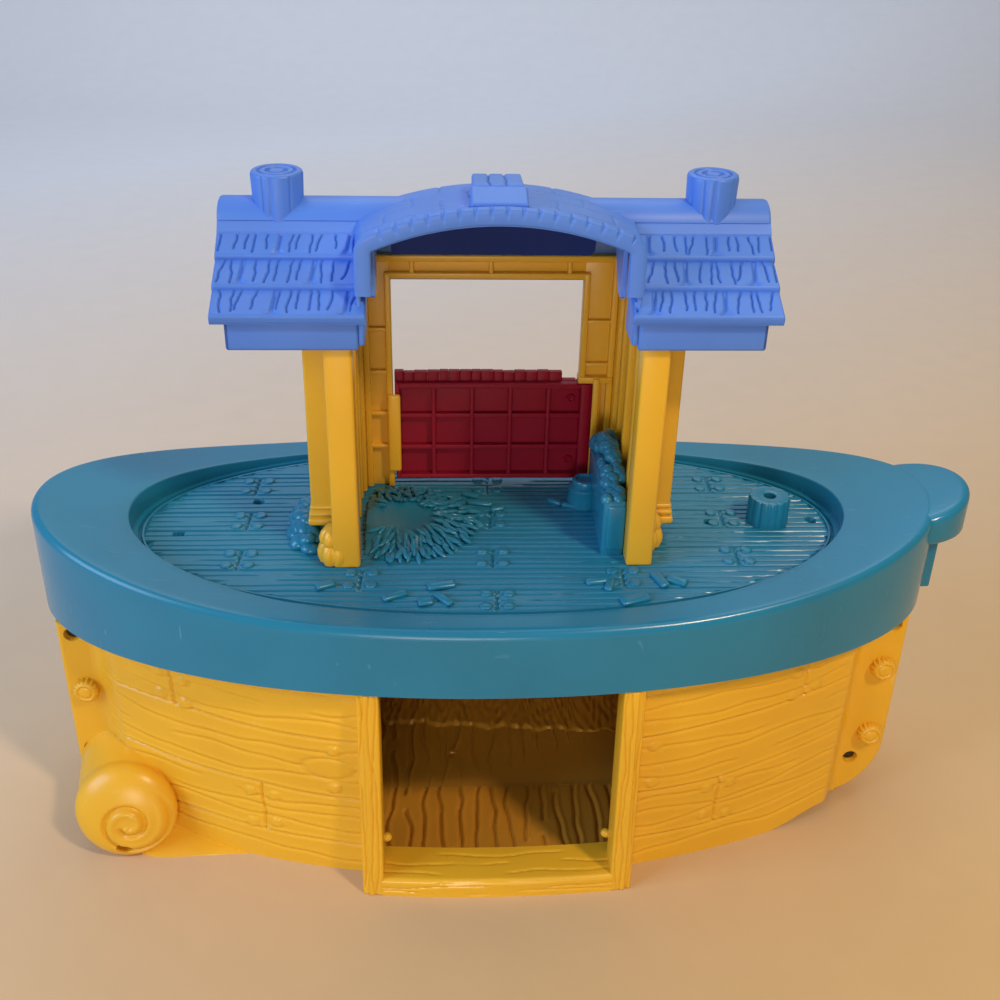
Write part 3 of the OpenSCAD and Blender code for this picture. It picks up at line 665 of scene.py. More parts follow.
    def side_panel(self, name: str, x0: float, x1: float, side: Side, node: str, step: Pair) -> None:
        """Builds one planked wall between two stations.

        The outer face is the half breadth plus the plank relief along the plan normal, and the
        inner face is the same curve moved in by the wall.

        Args:
            name: name of the piece.
            x0: first station.
            x1: last station.
            side: long side of the boat.
            node: solid that it stands for.
            step: sample spacing along and up.
        """
        x = ticks(x0, x1, step[0], [s * butt[0] for s in BOTH for butt in self.butts], 0.5)
        z = np.concatenate([ticks(0.0, 115.0, step[1]), ticks(118.0, self.top, 4.0)])
        xx, zz = np.meshgrid(x, z, indexing="ij")
        zz = zz + self.keel(xx) * (1.0 - zz / self.top)
        half = self.flow(xx, zz)
        span = self.side_r + self.flare * zz / self.top
        h = self.planks(xx, zz)
        out = half + h * (half + self.side_r - self.half_wid) / span
        front = np.stack([xx + h * xx / span, side.value * out, zz], -1)
        back = np.stack([xx, side.value * self.flow(xx, zz, -self.wall), zz], -1)
        skin = Skin()
        skin.solid(front, back)
        skin.piece(name, YELLOW, Body.HULL, node, 50.0)

    def floor_relief(self, x: Array, y: Array) -> Array:
        """Relief of the hold's floor: grain across the boat, strewn hay at the back and two holes.

        Args:
            x: places along the boat.
            y: places across the boat.

        Returns:
            Height over the plain floor.
        """
        deepest = 2.4
        h = np.zeros_like(x)
        depth = 1.5 + 0.9 * smooth(y, -28.0, -8.0)
        for i, place in enumerate(np.arange(-76.0, 80.0, 8.6)):
            shown = smooth(wobble(y, 210 + i, 95.0), -0.85, -0.65)
            h += seam(x - place - 2.4 * wobble(y, 240 + i, 85.0), depth, 0.9) * shown
        edge = 20.5 - 0.1 * x + 2.2 * wobble(x, 300, 26.0)
        hay = smooth(y - edge, 0.0, 1.6)
        strands = np.zeros_like(x)
        for i in range(4):
            lean = 0.35 * wobble(x, 310 + i, 60.0)
            strands += 0.5 * np.sin((x + lean * (y - edge) * (1 + i)) * math.tau / (4.1 + 1.7 * i) + i)
        h = h * (1.0 - hay) + hay * (1.7 + 0.55 * strands)
        for hole_x, hole_y in self.hold_holes:
            h -= deepest * smooth(-np.hypot(x - hole_x, y - hole_y), -2.0, -1.5)
        return np.maximum(h, -deepest)

    def floor(self, name: str, y0: float | None, y1: float | None, node: str) -> None:
        """Builds the hold's floor on one side of the joint plane, carved on top and flat below.

        Args:
            name: name of the piece.
            y0: lower limit, or none for the hull's side.
            y1: upper limit, or none for the hull's side.
            node: solid that it stands for.
        """
        inner = self.wall - 0.6
        x = np.concatenate([ticks(-188.0, -78.0, 6.0), ticks(-77.0, 77.0, 0.7), ticks(78.0, 188.0, 3.0)])
        share = np.linspace(0.0, 1.0, 100 if y1 is None else 60)
        side = self.flow(x, np.full_like(x, self.floor_t), -inner)
        low = -side if y0 is None else np.full_like(x, y0)
        high = side if y1 is None else np.full_like(x, y1)
        yy = low[:, None] + share * (high - low)[:, None]
        xx = np.broadcast_to(x[:, None], yy.shape)
        flat = np.stack([xx, yy, self.keel(xx)], -1)
        front = flat + np.array(UP) * (self.floor_t + self.floor_relief(xx, yy))[..., None]
        skin = Skin()
        skin.backed(front, flat.reshape(-1, 3)[Skin.border(*xx.shape)])
        # The hold's floor takes the browner yellow that paints the shade inside the hold.
        skin.piece(name, SHADED_HOLD_YELLOW, Body.HULL, node, 50.0)

    def doorway(self, node: str) -> None:
        """Builds the leaning posts with two bands of wavy grain, the bowed sill and the ramp pips.

        Args:
            node: solid that it stands for.
        """
        skin = Skin()
        w, tall = self.door_post, self.block_top
        lean = math.radians(self.door_lean)
        for s in BOTH:
            left = self.door_x + s * self.door_half + (0.0 if s > 0 else -w)

            def carve(u: Array, v: Array) -> Array:
                """Post face: an outer band set back, and grain lines that waver up the post.

                Args:
                    u: places across the post.
                    v: places up the post.

                Returns:
                    Height over the plain face.
                """
                inner = u if s > 0 else w - u
                h = eased(u, v, w, tall, 1.1) - 0.9 * smooth(inner, 6.6, 7.2)
                for i, place in enumerate((2.3, 4.4, 8.6)):
                    h += ditch(inner - place - 1.15 * wobble(v, 330 + i + int(s), 75.0), 0.55, 0.42)
                return h

            skin.slab((left, self.door_y, 0.0), (1.0, 0.0, 0.0), (0.0, math.sin(lean), math.cos(lean)),
                      ticks(0.0, w, 0.3), ticks(0.0, tall, 0.8, (0.0, tall), 0.3), carve, 15.0)
            pip_x, pip_y = self.door_x + s * (self.door_half - 1.0), self.door_y + self.sill_d - 5.0
            skin.ball((pip_x, pip_y, self.sill_h + 11.0), (2.6, 2.3, 2.3))
        x = ticks(self.door_x - self.door_half - 1.0, self.door_x + self.door_half + 1.0, 1.0)
        r, d, top = 2.4, self.sill_d, self.sill_h
        bend = np.linspace(0.0, math.pi / 2.0, 6)
        front = np.stack([np.zeros(16), np.linspace(0.0, top - r, 16)], 1)
        corner = np.stack([r - r * np.cos(bend), top - r + r * np.sin(bend)], 1)[1:]
        upper = np.stack([np.linspace(r, d, 30)[1:], np.full(29, top)], 1)
        loop = np.concatenate([front, corner, upper, [[d, 0.0]]])
        xx, yy = np.meshgrid(x, loop[:, 0], indexing="ij")
        zz = np.broadcast_to(loop[:, 1], xx.shape)
        along = np.where(zz < top - 0.01, zz, top + yy)
        h = np.zeros_like(xx)
        for i, place in enumerate((2.6, 5.6, 8.6, 15.5, 21.5, 27.5)):
            shown = smooth(wobble(xx, 350 + i, 90.0), -0.3, 0.0)
            h += ditch(along - place - 1.5 * wobble(xx, 360 + i, 95.0), 0.5, 0.5) * shown
        h *= (yy < d - 0.5) & (zz > 0.01)
        push = np.clip(1.0 - yy / r, 0.0, 1.0)
        bow = self.sill_bow * (1.0 - np.square((xx - self.door_x) / self.door_half))
        skin.tube(np.stack([xx, self.door_y + yy - bow - h * push, zz + h * (1.0 - push) * (zz > 0.01)], -1))
        skin.piece("doorway_frame", YELLOW, Body.HULL, node)

    def plate(self, skin: Skin, end: End, side: Side, holes: Sequence[Pair]) -> None:
        """Adds one half of a stem or stern block, its outer face carved with screw holes.

        The stern's outer edge follows a quarter circle at its foot.

        Args:
            skin: pool that takes it.
            end: end of the boat.
            side: long side of the boat.
            holes: place of each screw hole along and up.
        """
        tip = self.half_len + (self.bow_reach if end is End.BOW else self.stern_reach)
        root = self.half_len - 3.0 if end is End.BOW else self.stern_blend[1] - 2.0
        r = self.stern_corner if end is End.STERN else 3.0
        foot = r - math.sqrt(r * r - (r - (tip - root - 0.6)) ** 2) if tip - root < r else 0.0
        z = ticks(foot, self.block_top, 1.6, [h[1] for h in holes] + [foot, self.block_top], 0.4, 4.2)
        share = np.linspace(0.0, 1.0, 48)
        edge = tip - r + np.sqrt(np.maximum(r * r - np.square(np.clip(r - z, 0.0, r)), 0.0))
        far = root + share[:, None] * (edge - root)
        zz = np.broadcast_to(z, far.shape)
        gap = np.minimum(np.minimum(edge - far, self.block_top - zz), zz - foot + 0.5)
        h = rounding(gap, 2.0)
        for hole_x, hole_z in holes:
            far_off = np.hypot(end.value * far - hole_x, zz - hole_z)
            h -= self.hole_deep * smooth(-far_off, -self.hole_r - 0.6, -self.hole_r)
        y = side.value * (self.block_half + h)
        front = np.stack([end.value * far, y, zz], -1)
        seat = self.joint_y + side.value * 0.05
        rim = front.reshape(-1, 3)[Skin.border(*far.shape)].copy()
        rim[:, 1] = seat
        skin.backed(front, rim)

    def bolt(self, skin: Skin, x: float, z: float, side: Side) -> None:
        """Adds one moulded bolt head: a knurled drum with a ringed, sunk crown."""
        skin.spun((x, side.value * self.block_half, z), (0.0, side.value, 0.0), self.bolt_profile, 64,
                  lambda a, hh: 0.45 * np.cos(16.0 * a) * smooth(-hh, -4.2, -3.2))

    def scroll(self, skin: Skin, side: Side) -> None:
        """Adds the rounded bow scroll: a leaning, spiral-grooved dome, the drum behind its lip and its foot.

        The dome's depth is a rounded power curve of the radius. The groove is a spiral whose
        radius grows with the turned angle and its square.

        Args:
            skin: pool that takes it.
            side: long side of the boat.
        """
        cx, cy, cz = self.scroll_at
        lean = math.radians(self.scroll_lean)
        count, power, (eye_p, eye_q) = 200, self.scroll_power, self.scroll_eye
        angle = np.arange(count) * math.tau / count
        rr, aa = np.meshgrid(np.linspace(0.3, self.scroll_r, 84), angle, indexing="ij")
        p, q = rr * np.cos(aa), rr * np.sin(aa)
        deep = self.scroll_round * (1.0 - (1.0 - (rr / (self.scroll_r + 0.02)) ** power) ** (1.0 / power))
        far, turned = np.hypot(p - eye_p, q - eye_q), np.arctan2(q - eye_q, p - eye_p)
        groove = np.zeros_like(p)
        for k in range(3):
            phi = turned + math.pi + math.tau * k
            path = 4.6 + 0.55 * phi + 0.095 * phi * phi
            shown = smooth(phi, 0.0, 0.7) * smooth(-phi, -10.4, -9.6)
            groove += ditch(far - path, 1.9, 1.25) * shown - ditch(far - path + 3.2, 0.7, 1.9) * shown
        slot = np.hypot((p - self.scroll_slot[0]) / 3.8, (q - self.scroll_slot[1]) / 2.3)
        out = groove - deep - 7.0 * smooth(-slot, -1.05, -0.85)
        front = np.stack([cx + p, cy + out * math.cos(lean) - q * math.sin(lean),
                          cz + out * math.sin(lean) + q * math.cos(lean)], -1)
        seat = np.array(self.scroll_seat)
        rear = seat + self.scroll_seat_r * np.stack([np.cos(angle), np.zeros(count), np.sin(angle)], -1)
        ring = front[-1]
        middle = ring.mean(0)
        share = np.array([0.02, 0.06, 0.12, 0.35, 0.6, 0.85, 1.0])[:, None, None]
        girth = np.array([0.99, 0.975, 0.97, 0.98, 0.985, 0.995, 1.0])[:, None, None]
        body = (1.0 - share) * (middle + girth * (ring - middle)) + share * (seat + girth * (rear - seat))
        body = np.concatenate([front, body])
        body[..., 0] = np.maximum(body[..., 0], -self.half_len - self.bow_reach + 0.3)
        body[..., 2] = np.maximum(body[..., 2], 0.0)
        shell = self.flow(body[..., 0], body[..., 2], -1.2)
        plate_x = -183.0
        body[..., 1] = np.where(body[..., 0] > plate_x, np.maximum(body[..., 1], shell), body[..., 1])
        skin.tube(body * np.array([1.0, side.value, 1.0]))
        foot_end = -118.0
        foot_x = np.linspace(cx + 3.0, foot_end, 30)
        share = (foot_x - foot_x[0]) / (foot_x[-1] - foot_x[0])
        reach = 70.5 - 2.6 * share - 6.0 * (1.0 - share) ** 10
        inner = self.breadth(foot_x, np.zeros_like(foot_x), -4.0)
        high = 12.0 * (1.0 - share) ** 1.3 + 0.6
        section = ((reach, 0.0 * high), (reach - 0.2, 0.12 * high), (0.6 * reach + 0.4 * inner, 0.62 * high),
                   (inner, high), (inner, 0.0 * high))
        loop = np.stack([np.stack([foot_x, y, z], 1) for y, z in section], 1)
        loop[..., 1] *= side.value
        skin.tube(loop)

    def build(self) -> None:
        """Builds both shells."""
        front, rear = "hull_front_shell", "hull_rear_shell"
        post = self.door_half + self.door_post
        bow_end, stern_end = -self.bow_blend[1], self.stern_blend[1]
        fine, coarse = (1.4, 0.5), (1.6, 0.6)
        for name, x0, x1, side, node, step in (
                ("front_planks_bow", bow_end, self.door_x - post + 2.0, Side.DOORWAY, front, fine),
                ("front_planks_stern", self.door_x + post - 2.0, stern_end, Side.DOORWAY, front, fine),
                ("rear_planks_bow", bow_end, 0.0, Side.REAR, rear, coarse),
                ("rear_planks_stern", 0.0, stern_end, Side.REAR, rear, coarse)):
            self.side_panel(name, x0, x1, side, node, step)
        self.floor("hold_floor_front", None, self.joint_y - 0.05, front)
        self.floor("hold_floor_rear", self.joint_y + 0.05, None, rear)
        self.doorway(front)
        bow, stern = -self.half_len - self.bow_reach, self.half_len + self.stern_reach
        for side, node, word in ((Side.DOORWAY, front, "front"), (Side.REAR, rear, "rear")):
            skin = Skin()
            holes = side is Side.DOORWAY
            self.plate(skin, End.BOW, side, [(bow + 7.0, 108.0), (bow + 7.0, 40.0)] if holes else [])
            self.plate(skin, End.STERN, side, [(stern - 7.0, 109.0), (stern - 16.0, 26.0)] if holes else [])
            for end, near, far in ((End.BOW, 181.0, 186.2), (End.STERN, 176.0, 181.0)):
                skin.bar((end.value * near, self.joint_y + side.value * 0.05, 10.0),
                         (end.value * far, side.value * (self.block_half - 0.6), self.top), 1.0)
            for x, z in ((bow + 10.0, 77.0), (stern - 9.0, 84.0), (stern - 9.0, 43.0)):
                self.bolt(skin, x, z, side)
            self.scroll(skin, side)
            skin.piece(f"{word}_end_plates", YELLOW, Body.HULL, node)


@dataclass
class Deck:
    """Teal deck lid: rim with sheer, sunk plank floor, stern grip and the fittings moulded on it."""

    half_len: float = 214.5
    half_wid: float = 95.0
    pan_len: float = 170.5
    pan_wid: float = 81.0
    power: float = 2.08
    skirt_z: float = 115.0
    floor_z: float = 147.0
    rim_z: float = 149.0
    sheer_flat: float = 66.0
    sheer_rise: float = 18.0
    wall: float = 3.0
    round_out: float = 4.5
    round_in: float = 0.8
    ledge: float = 5.6
    grip_x: float = 202.5
    grip_r: float = 29.0
    catch: tuple[Triple, Triple] = ((211.5, -12.0, 115.5), (219.0, 12.0, 154.0))
    plank: float = 17.5
    joints: tuple[Pair, ...] = (
        (-116.5, 38.5), (0.0, 38.5), (114.5, 38.5), (-116.5, 3.5), (0.0, 3.5), (114.5, 3.5), (-116.5, -31.5),
        (0.0, -31.5), (114.5, -31.5), (-60.0, -49.0), (58.5, -49.0), (0.6, -66.5))
    joint_lean: float = 0.05
    holes: tuple[Pair, ...] = ((-148.0, -7.5), (-114.0, 22.5), (107.5, 0.0), (158.0, 1.5))
    stud_profile: tuple[Pair, ...] = (
        (2.8, 0.0), (2.8, 0.9), (2.6, 1.3), (2.1, 1.55), (1.0, 1.65), (0.3, 1.65))
    stud_gap: float = 5.0
    bits: tuple[tuple[float, float, float, float, float], ...] = (
        (-75.5, -54.5, 9.0, 4.5, 25.0), (-44.5, -63.5, 12.0, 4.0, 28.0), (-24.0, -55.5, 13.0, 5.0, 12.0),
        (-23.0, -66.5, 11.0, 4.0, -50.0), (-31.0, -68.5, 7.0, 5.0, 10.0), (40.5, 15.5, 9.0, 3.0, -20.0),
        (47.0, -53.0, 13.0, 4.0, 10.0), (51.0, -56.5, 9.0, 4.0, 75.0), (74.5, -52.5, 12.0, 4.5, -70.0),
        (82.0, -53.5, 10.0, 5.0, -30.0), (61.0, -68.0, 14.0, 6.0, 20.0), (-4.5, 18.5, 13.0, 3.5, -8.0),
        (-9.0, 26.5, 9.0, 3.0, -25.0), (4.0, 12.5, 7.0, 3.0, 15.0), (33.0, 19.5, 8.0, 3.0, -35.0))
    post_at: Pair = (136.0, 1.5)
    post_profile: tuple[Pair, ...] = (
        (3.0, -3.0), (10.1, -3.0), (10.1, 0.0), (9.9, 12.6), (9.5, 13.7), (8.6, 14.0), (4.0, 14.0),
        (3.1, 13.6), (3.0, 12.0))
    bucket_at: Pair = (47.5, 20.0)
    bucket_profile: tuple[Pair, ...] = (
        (8.4, 0.0), (8.4, 3.0), (8.0, 9.0), (8.2, 9.7), (8.0, 10.6), (6.4, 11.0), (6.0, 11.4), (6.2, 13.6),
        (5.6, 14.6), (4.6, 14.8), (3.6, 13.8), (0.5, 13.6))
    trough_x: Pair = (50.2, 60.6)
    trough_y: Pair = (-30.0, 28.0)
    trough_top: float = 175.2
    feed_count: int = 64
    heap_at: Pair = (-86.0, -2.5)
    heap_size: Pair = (6.5, 23.0)
    heap_count: int = 26
    golden_turn: float = 2.399963
    nest_at: Pair = (-42.0, 0.0)
    nest_wall: float = -59.5
    nest_profile: tuple[Pair, ...] = (
        (33.0, -1.0), (33.0, 0.2), (26.0, 2.2), (19.0, 3.6), (16.0, 4.0), (14.0, 3.4), (9.0, 2.2), (2.0, 1.8))
    straw_rings: tuple[tuple[float, int, float], ...] = (
        (17.5, 34, 4.3), (21.5, 40, 3.9), (25.5, 46, 3.1), (29.5, 52, 2.2), (33.0, 56, 1.2))

    def oval(self, a: float, b: float, angle: Array) -> Array:
        """Places on the oval: each half length times a power of the cosine or sine.

        Args:
            a: half length.
            b: half width.
            angle: angles round the oval.

        Returns:
            X and Y of each place.
        """
        c, s = np.cos(angle), np.sin(angle)
        e = 2.0 / self.power
        return np.stack([a * np.sign(c) * np.abs(c) ** e, b * np.sign(s) * np.abs(s) ** e], -1)

    def sheer(self, x: Array) -> Array:
        """Height of the rim: level amidships, then a wide circle up to each end."""
        r = ((self.half_len - self.sheer_flat) ** 2 + self.sheer_rise ** 2) / (2.0 * self.sheer_rise)
        return self.rim_z + r - np.sqrt(r * r - np.square(np.maximum(np.abs(x) - self.sheer_flat, 0.0)))

    def rim(self) -> None:
        """Builds the rim and skirt: one closed section carried round the oval.

        The section goes up the skirt, over the outer rounding, across the band, down the inner
        wall, along a grooved ledge and back along the underside. Its width runs from the outer
        to the inner oval and, for the ledge, on along the inner oval's own normal.
        """
        angle = np.arange(420) * math.tau / 420
        outer = self.oval(self.half_len, self.half_wid, angle)
        inner = self.oval(self.pan_len, self.pan_wid, angle)
        width = np.linalg.norm(inner - outer, axis=1)
        way = (inner - outer) / width[:, None]
        run = np.roll(inner, -1, 0) - np.roll(inner, 1, 0)
        inward = np.stack([-run[:, 1], run[:, 0]], 1) / np.linalg.norm(run, axis=1)[:, None]
        bend = np.linspace(0.0, math.pi / 2.0, 9)
        ro, ri, t, under = self.round_out, self.round_in, self.wall, self.floor_z - 3.4
        edge, skirt = np.zeros_like(width), self.skirt_z
        rows: list[tuple[Array, float, bool]] = []
        rows += [(edge, z, True) for z in (skirt, skirt + 0.8, skirt + 15.0)]
        rows += [(edge + (ro - ro * math.cos(a)), ro * math.sin(a) - ro, False) for a in bend]
        rows += [(ro + (width - ro - ri) * f, 0.0, False) for f in (0.12, 0.35, 0.6, 0.85)]
        rows += [(width - ri + ri * math.sin(a), ri * math.cos(a) - ri, False) for a in bend[::2]]
        # The ledge's groove takes the teal's painted groove shade, which draws a dark line along the pan's
        # edge.
        rows += [(width + d, self.floor_z + z, True) for d, z in (
            (0.0, 0.2), (self.ledge - 2.8, 0.2), (self.ledge - 2.4, -1.6), (self.ledge - 1.3, -1.6),
            (self.ledge - 0.9, 0.1), (self.ledge, 0.0), (self.ledge, -3.4))]
        rows += [(width - t, under, True), (width - t, -t, False), (edge + t, -t, False),
                 (edge + t, skirt, True)]
        rings = []
        for w, level, fixed in rows:
            place = outer + way * np.minimum(w, width)[:, None] + inward * np.maximum(w - width, 0.0)[:, None]
            z = np.full_like(width, level) if fixed else self.sheer(place[:, 0]) + level
            rings.append(np.concatenate([place, z[:, None]], 1))
        skin = Skin()
        skin.tube(np.stack(rings, 1), loop=True)
        self.grip(skin)
        skin.piece("deck_rim", TEAL, Body.DECK, "deck", 55.0)

    def grip(self, skin: Skin) -> None:
        """Adds the round finger grip at the stern, topped by the sheer, and the catch tab under it.

        Args:
            skin: pool that takes it.
        """
        bend = np.linspace(0.0, math.pi / 2.0, 8)
        ro, r = self.round_out, self.grip_r
        low = np.array([1.0, 1.0, 2.0, 4.0]) + self.rim_z
        radius = np.concatenate([[0.5 * r, r - 1.0, r, r], r - ro + ro * np.cos(bend), [0.6 * r, 0.2 * r]])
        drop = np.concatenate([0.0 * low, ro - ro * np.sin(bend), [0.0, 0.0]])
        angle = np.arange(160) * math.tau / 160
        rr, aa = np.meshgrid(radius, angle, indexing="ij")
        x, y = self.grip_x + rr * np.cos(aa), rr * np.sin(aa)
        z = self.sheer(x) - 0.12 - drop[:, None]
        z[:len(low)] = low[:, None]
        skin.tube(np.stack([x, y, z], -1))
        skin.bar(*self.catch, 1.2)

    def planks(self, x: Array, y: Array) -> Array:
        """Relief of the floor: plank seams and grain along the boat, butt joints, a step down and holes.

        The step runs under the rim's ledge, at a distance from the oval that is the oval's level
        less one over its slope.

        Args:
            x: places along the boat.
            y: places across the boat.

        Returns:
            Height over the plain floor.
        """
        first = -75.25
        h = np.zeros_like(x)
        for i in range(9):
            edge = first + self.plank * i
            h += ditch(y - edge - 0.2 * wobble(x, 400 + i, 150.0), 1.5, 0.6)
            for j in range(1, 4):
                shown = smooth(wobble(x, 420 + 4 * i + j, 140.0), -0.75, -0.6)
                line = edge + self.plank * j / 4.0 + 0.45 * wobble(x, 460 + 4 * i + j, 150.0)
                h += ditch(y - line, 0.95, 0.42) * shown
        for jx, jy in self.joints:
            across = x - jx - self.joint_lean * (y - jy)
            h += ditch(across, 1.2, 0.6) * smooth(-np.abs(y - jy), -8.9, -8.2)
        a, b, n = self.pan_len, self.pan_wid, self.power
        level = (np.abs(x / a) ** n + np.abs(y / b) ** n) ** (1.0 / n)
        steep = np.hypot(np.abs(x) ** (n - 1.0) / a ** n, np.abs(y) ** (n - 1.0) / b ** n)
        steep = steep / level ** (n - 1.0)
        h -= 2.6 * smooth((level - 1.0) / steep, -self.ledge + 0.2, -self.ledge + 0.8)
        for hx, hy in self.holes:
            h -= 3.0 * smooth(-np.hypot(x - hx, y - hy), -2.9, -2.3)
        return h

    def floor(self) -> None:
        """Builds the plank floor: a carved oval sheet, flat below."""
        a, b = self.pan_len + 0.8, self.pan_wid + 0.8
        near = sorted({j[0] for j in self.joints}) + [h[0] for h in self.holes]
        bend = np.linspace(-math.pi / 2.0, math.pi / 2.0, 32)
        x = np.unique(np.concatenate([ticks(-168.0, 168.0, 5.0, near, 0.7, 2.8), a * np.sin(bend) * 0.9995]))
        x = x[np.concatenate(([True], np.diff(x) > 0.15))]
        half = b * (1.0 - np.abs(x / a) ** self.power) ** (1.0 / self.power)
        share = np.linspace(-1.0, 1.0, 540)
        yy = np.sign(share) * np.minimum(np.abs(b * share), half[:, None] * (0.999 + 0.001 * np.abs(share)))
        xx = np.broadcast_to(x[:, None], yy.shape)
        flat = np.stack([xx, yy, np.full_like(yy, self.floor_z)], -1)
        front = flat + np.array(UP) * self.planks(xx, yy)[..., None]
        skin = Skin()
        skin.backed(front, flat.reshape(-1, 3)[Skin.border(*yy.shape)] - self.wall * np.array(UP))
        skin.piece("deck_floor", TEAL, Body.DECK, "deck", 50.0)

    def studs(self) -> None:
        """Builds the round studs, four at each butt joint, and the scattered leaves and splinters."""
        skin = Skin()
        gap = self.stud_gap
        for jx, jy in self.joints:
            for dx, dy in ((-gap, -gap), (gap, -gap), (-gap, gap), (gap, gap)):
                place = (jx + dx + self.joint_lean * dy, jy + dy, self.floor_z - 0.6)
                skin.spun(place, UP, self.stud_profile, 20)
        tilt = Matrix.Rotation(math.radians(6.0), 4, "X")
        for x, y, long, wide, spin in self.bits:
            turn = Matrix.Rotation(math.radians(spin), 4, "Z")
            skin.bar((-long / 2, -wide / 2, -1.0), (long / 2, wide / 2, 1.6), 1.2,
                     Matrix.Translation((x, y, self.floor_z + 0.4)) @ turn @ tilt)
        skin.piece("deck_studs", TEAL, Body.DECK, "deck")

    def post(self) -> None:
        """Builds the fluted post with its bore: a turned tube whose outer radius waves with the angle."""
        skin = Skin()
        angle = np.arange(144) * math.tau / 144
        ring = np.array(self.post_profile)
        waved = (ring[:, 0] > 8.0)[:, None] * -0.55 * np.abs(np.cos(7.0 * angle)) ** 6
        rr = ring[:, :1] + waved
        grid = np.stack([self.post_at[0] + rr * np.cos(angle), self.post_at[1] + rr * np.sin(angle),
                         np.broadcast_to(self.floor_z + ring[:, 1:], rr.shape)], -1)
        skin.tube(grid, loop=True)
        skin.piece("fluted_post", TEAL, Body.DECK, "deck")

    def fittings(self) -> None:
        """Builds the trough with its heaped feed, the bucket, the straw nest and the heap outside.

        The feed's height along the trough is a slow rise and a quicker fall, rounded across.
        """
        skin = Skin()
        base, (x0, x1), (y0, y1), top = self.floor_z - 1.0, self.trough_x, self.trough_y, self.trough_top
        skin.bar((x0, y0, base), (x1, y1, top), 1.3)
        skin.bar((x0 + 2.0, y0 - 0.8, base + 4.0), (x1, y0 + 1.5, top - 2.2), 1.0)
        dice = np.random.default_rng(7)
        for i in range(self.feed_count):
            y = y0 + 3.5 + 53.0 * ((i * 0.618) % 1.0)
            x = x0 + 1.8 + 7.6 * ((i * 0.755) % 1.0)
            at = np.array(y)
            rise = 12.0 * float(smooth(at, -28.5, 9.5)) * (1.0 - 0.9 * float(smooth(at, 15.5, 29.5)))
            size = dice.uniform(2.3, 3.8)
            z = top - 0.7 + rise * (1.0 - 0.5 * ((x - 56.0) / 4.5) ** 2)
            skin.ball((x, y, z), (size, size * 1.15, size), 7, 12)
        skin.bar((x0 + 1.3, y0 + 15.5, top - 7.2), (x1 - 0.2, y1 - 2.5, top + 4.8), 4.0)
        skin.spun((*self.bucket_at, base), UP, self.bucket_profile, 36)
        for i in range(self.heap_count):
            t = i * self.golden_turn
            spread = math.sqrt((i + 0.5) / self.heap_count)
            x = self.heap_at[0] + self.heap_size[0] * spread * math.cos(t)
            y = self.heap_at[1] + self.heap_size[1] * spread * math.sin(t)
            size = dice.uniform(3.4, 5.2)
            turn = Matrix.Rotation(dice.uniform(0.0, 3.1), 3, "Z")
            turn = turn @ Matrix.Rotation(dice.uniform(-0.7, 0.7), 3, "Y")
            skin.ball((x, y, self.floor_z + 8.0 * (1.0 - spread ** 2)), (size * 1.3, size, size * 0.75),
                      8, 14, turn)
        skin.piece("deck_feed", TEAL, Body.DECK, "deck")
        self.nest()

    def nest(self) -> None:
        """Builds the straw nest: a low turned mound with a bowl, and rings of overlapping straw blades."""
        skin = Skin()
        (cx, cy), wall_x = self.nest_at, self.nest_wall
        angle = np.arange(72) * math.tau / 72
        shape = np.array(self.nest_profile)
        rr = shape[:, :1]
        skin.tube(np.stack([np.maximum(cx + rr * np.cos(angle), wall_x), cy + rr * np.sin(angle),
                            np.broadcast_to(self.floor_z + shape[:, 1:], (len(shape), len(angle)))], -1))
        dice = np.random.default_rng(21)
        for ring, (far, count, lift) in enumerate(self.straw_rings):
            for i in range(count):
                t = (i + 0.5 * (ring % 2) + dice.uniform(-0.3, 0.3)) * math.tau / count
                reach = far + dice.uniform(-1.6, 1.6)
                x, y = cx + reach * math.cos(t), cy + reach * math.sin(t)
                long, wide = dice.uniform(3.2, 5.0), dice.uniform(1.0, 1.6)
                turn = (Matrix.Rotation(t + dice.uniform(-0.45, 0.45), 3, "Z")
                        @ Matrix.Rotation(dice.uniform(0.05, 0.4), 3, "Y"))
                if x > wall_x + long:
                    z = self.floor_z + lift + dice.uniform(-0.4, 0.6)
                    skin.ball((x, y, z), (long, wide, 1.1), 6, 8, turn)
        skin.piece("straw_nest", TEAL, Body.DECK, "deck")

    def build(self) -> None:
        """Builds the deck and all that is moulded on it."""
        self.rim()
        self.floor()
        self.studs()
        self.post()
        self.fittings()


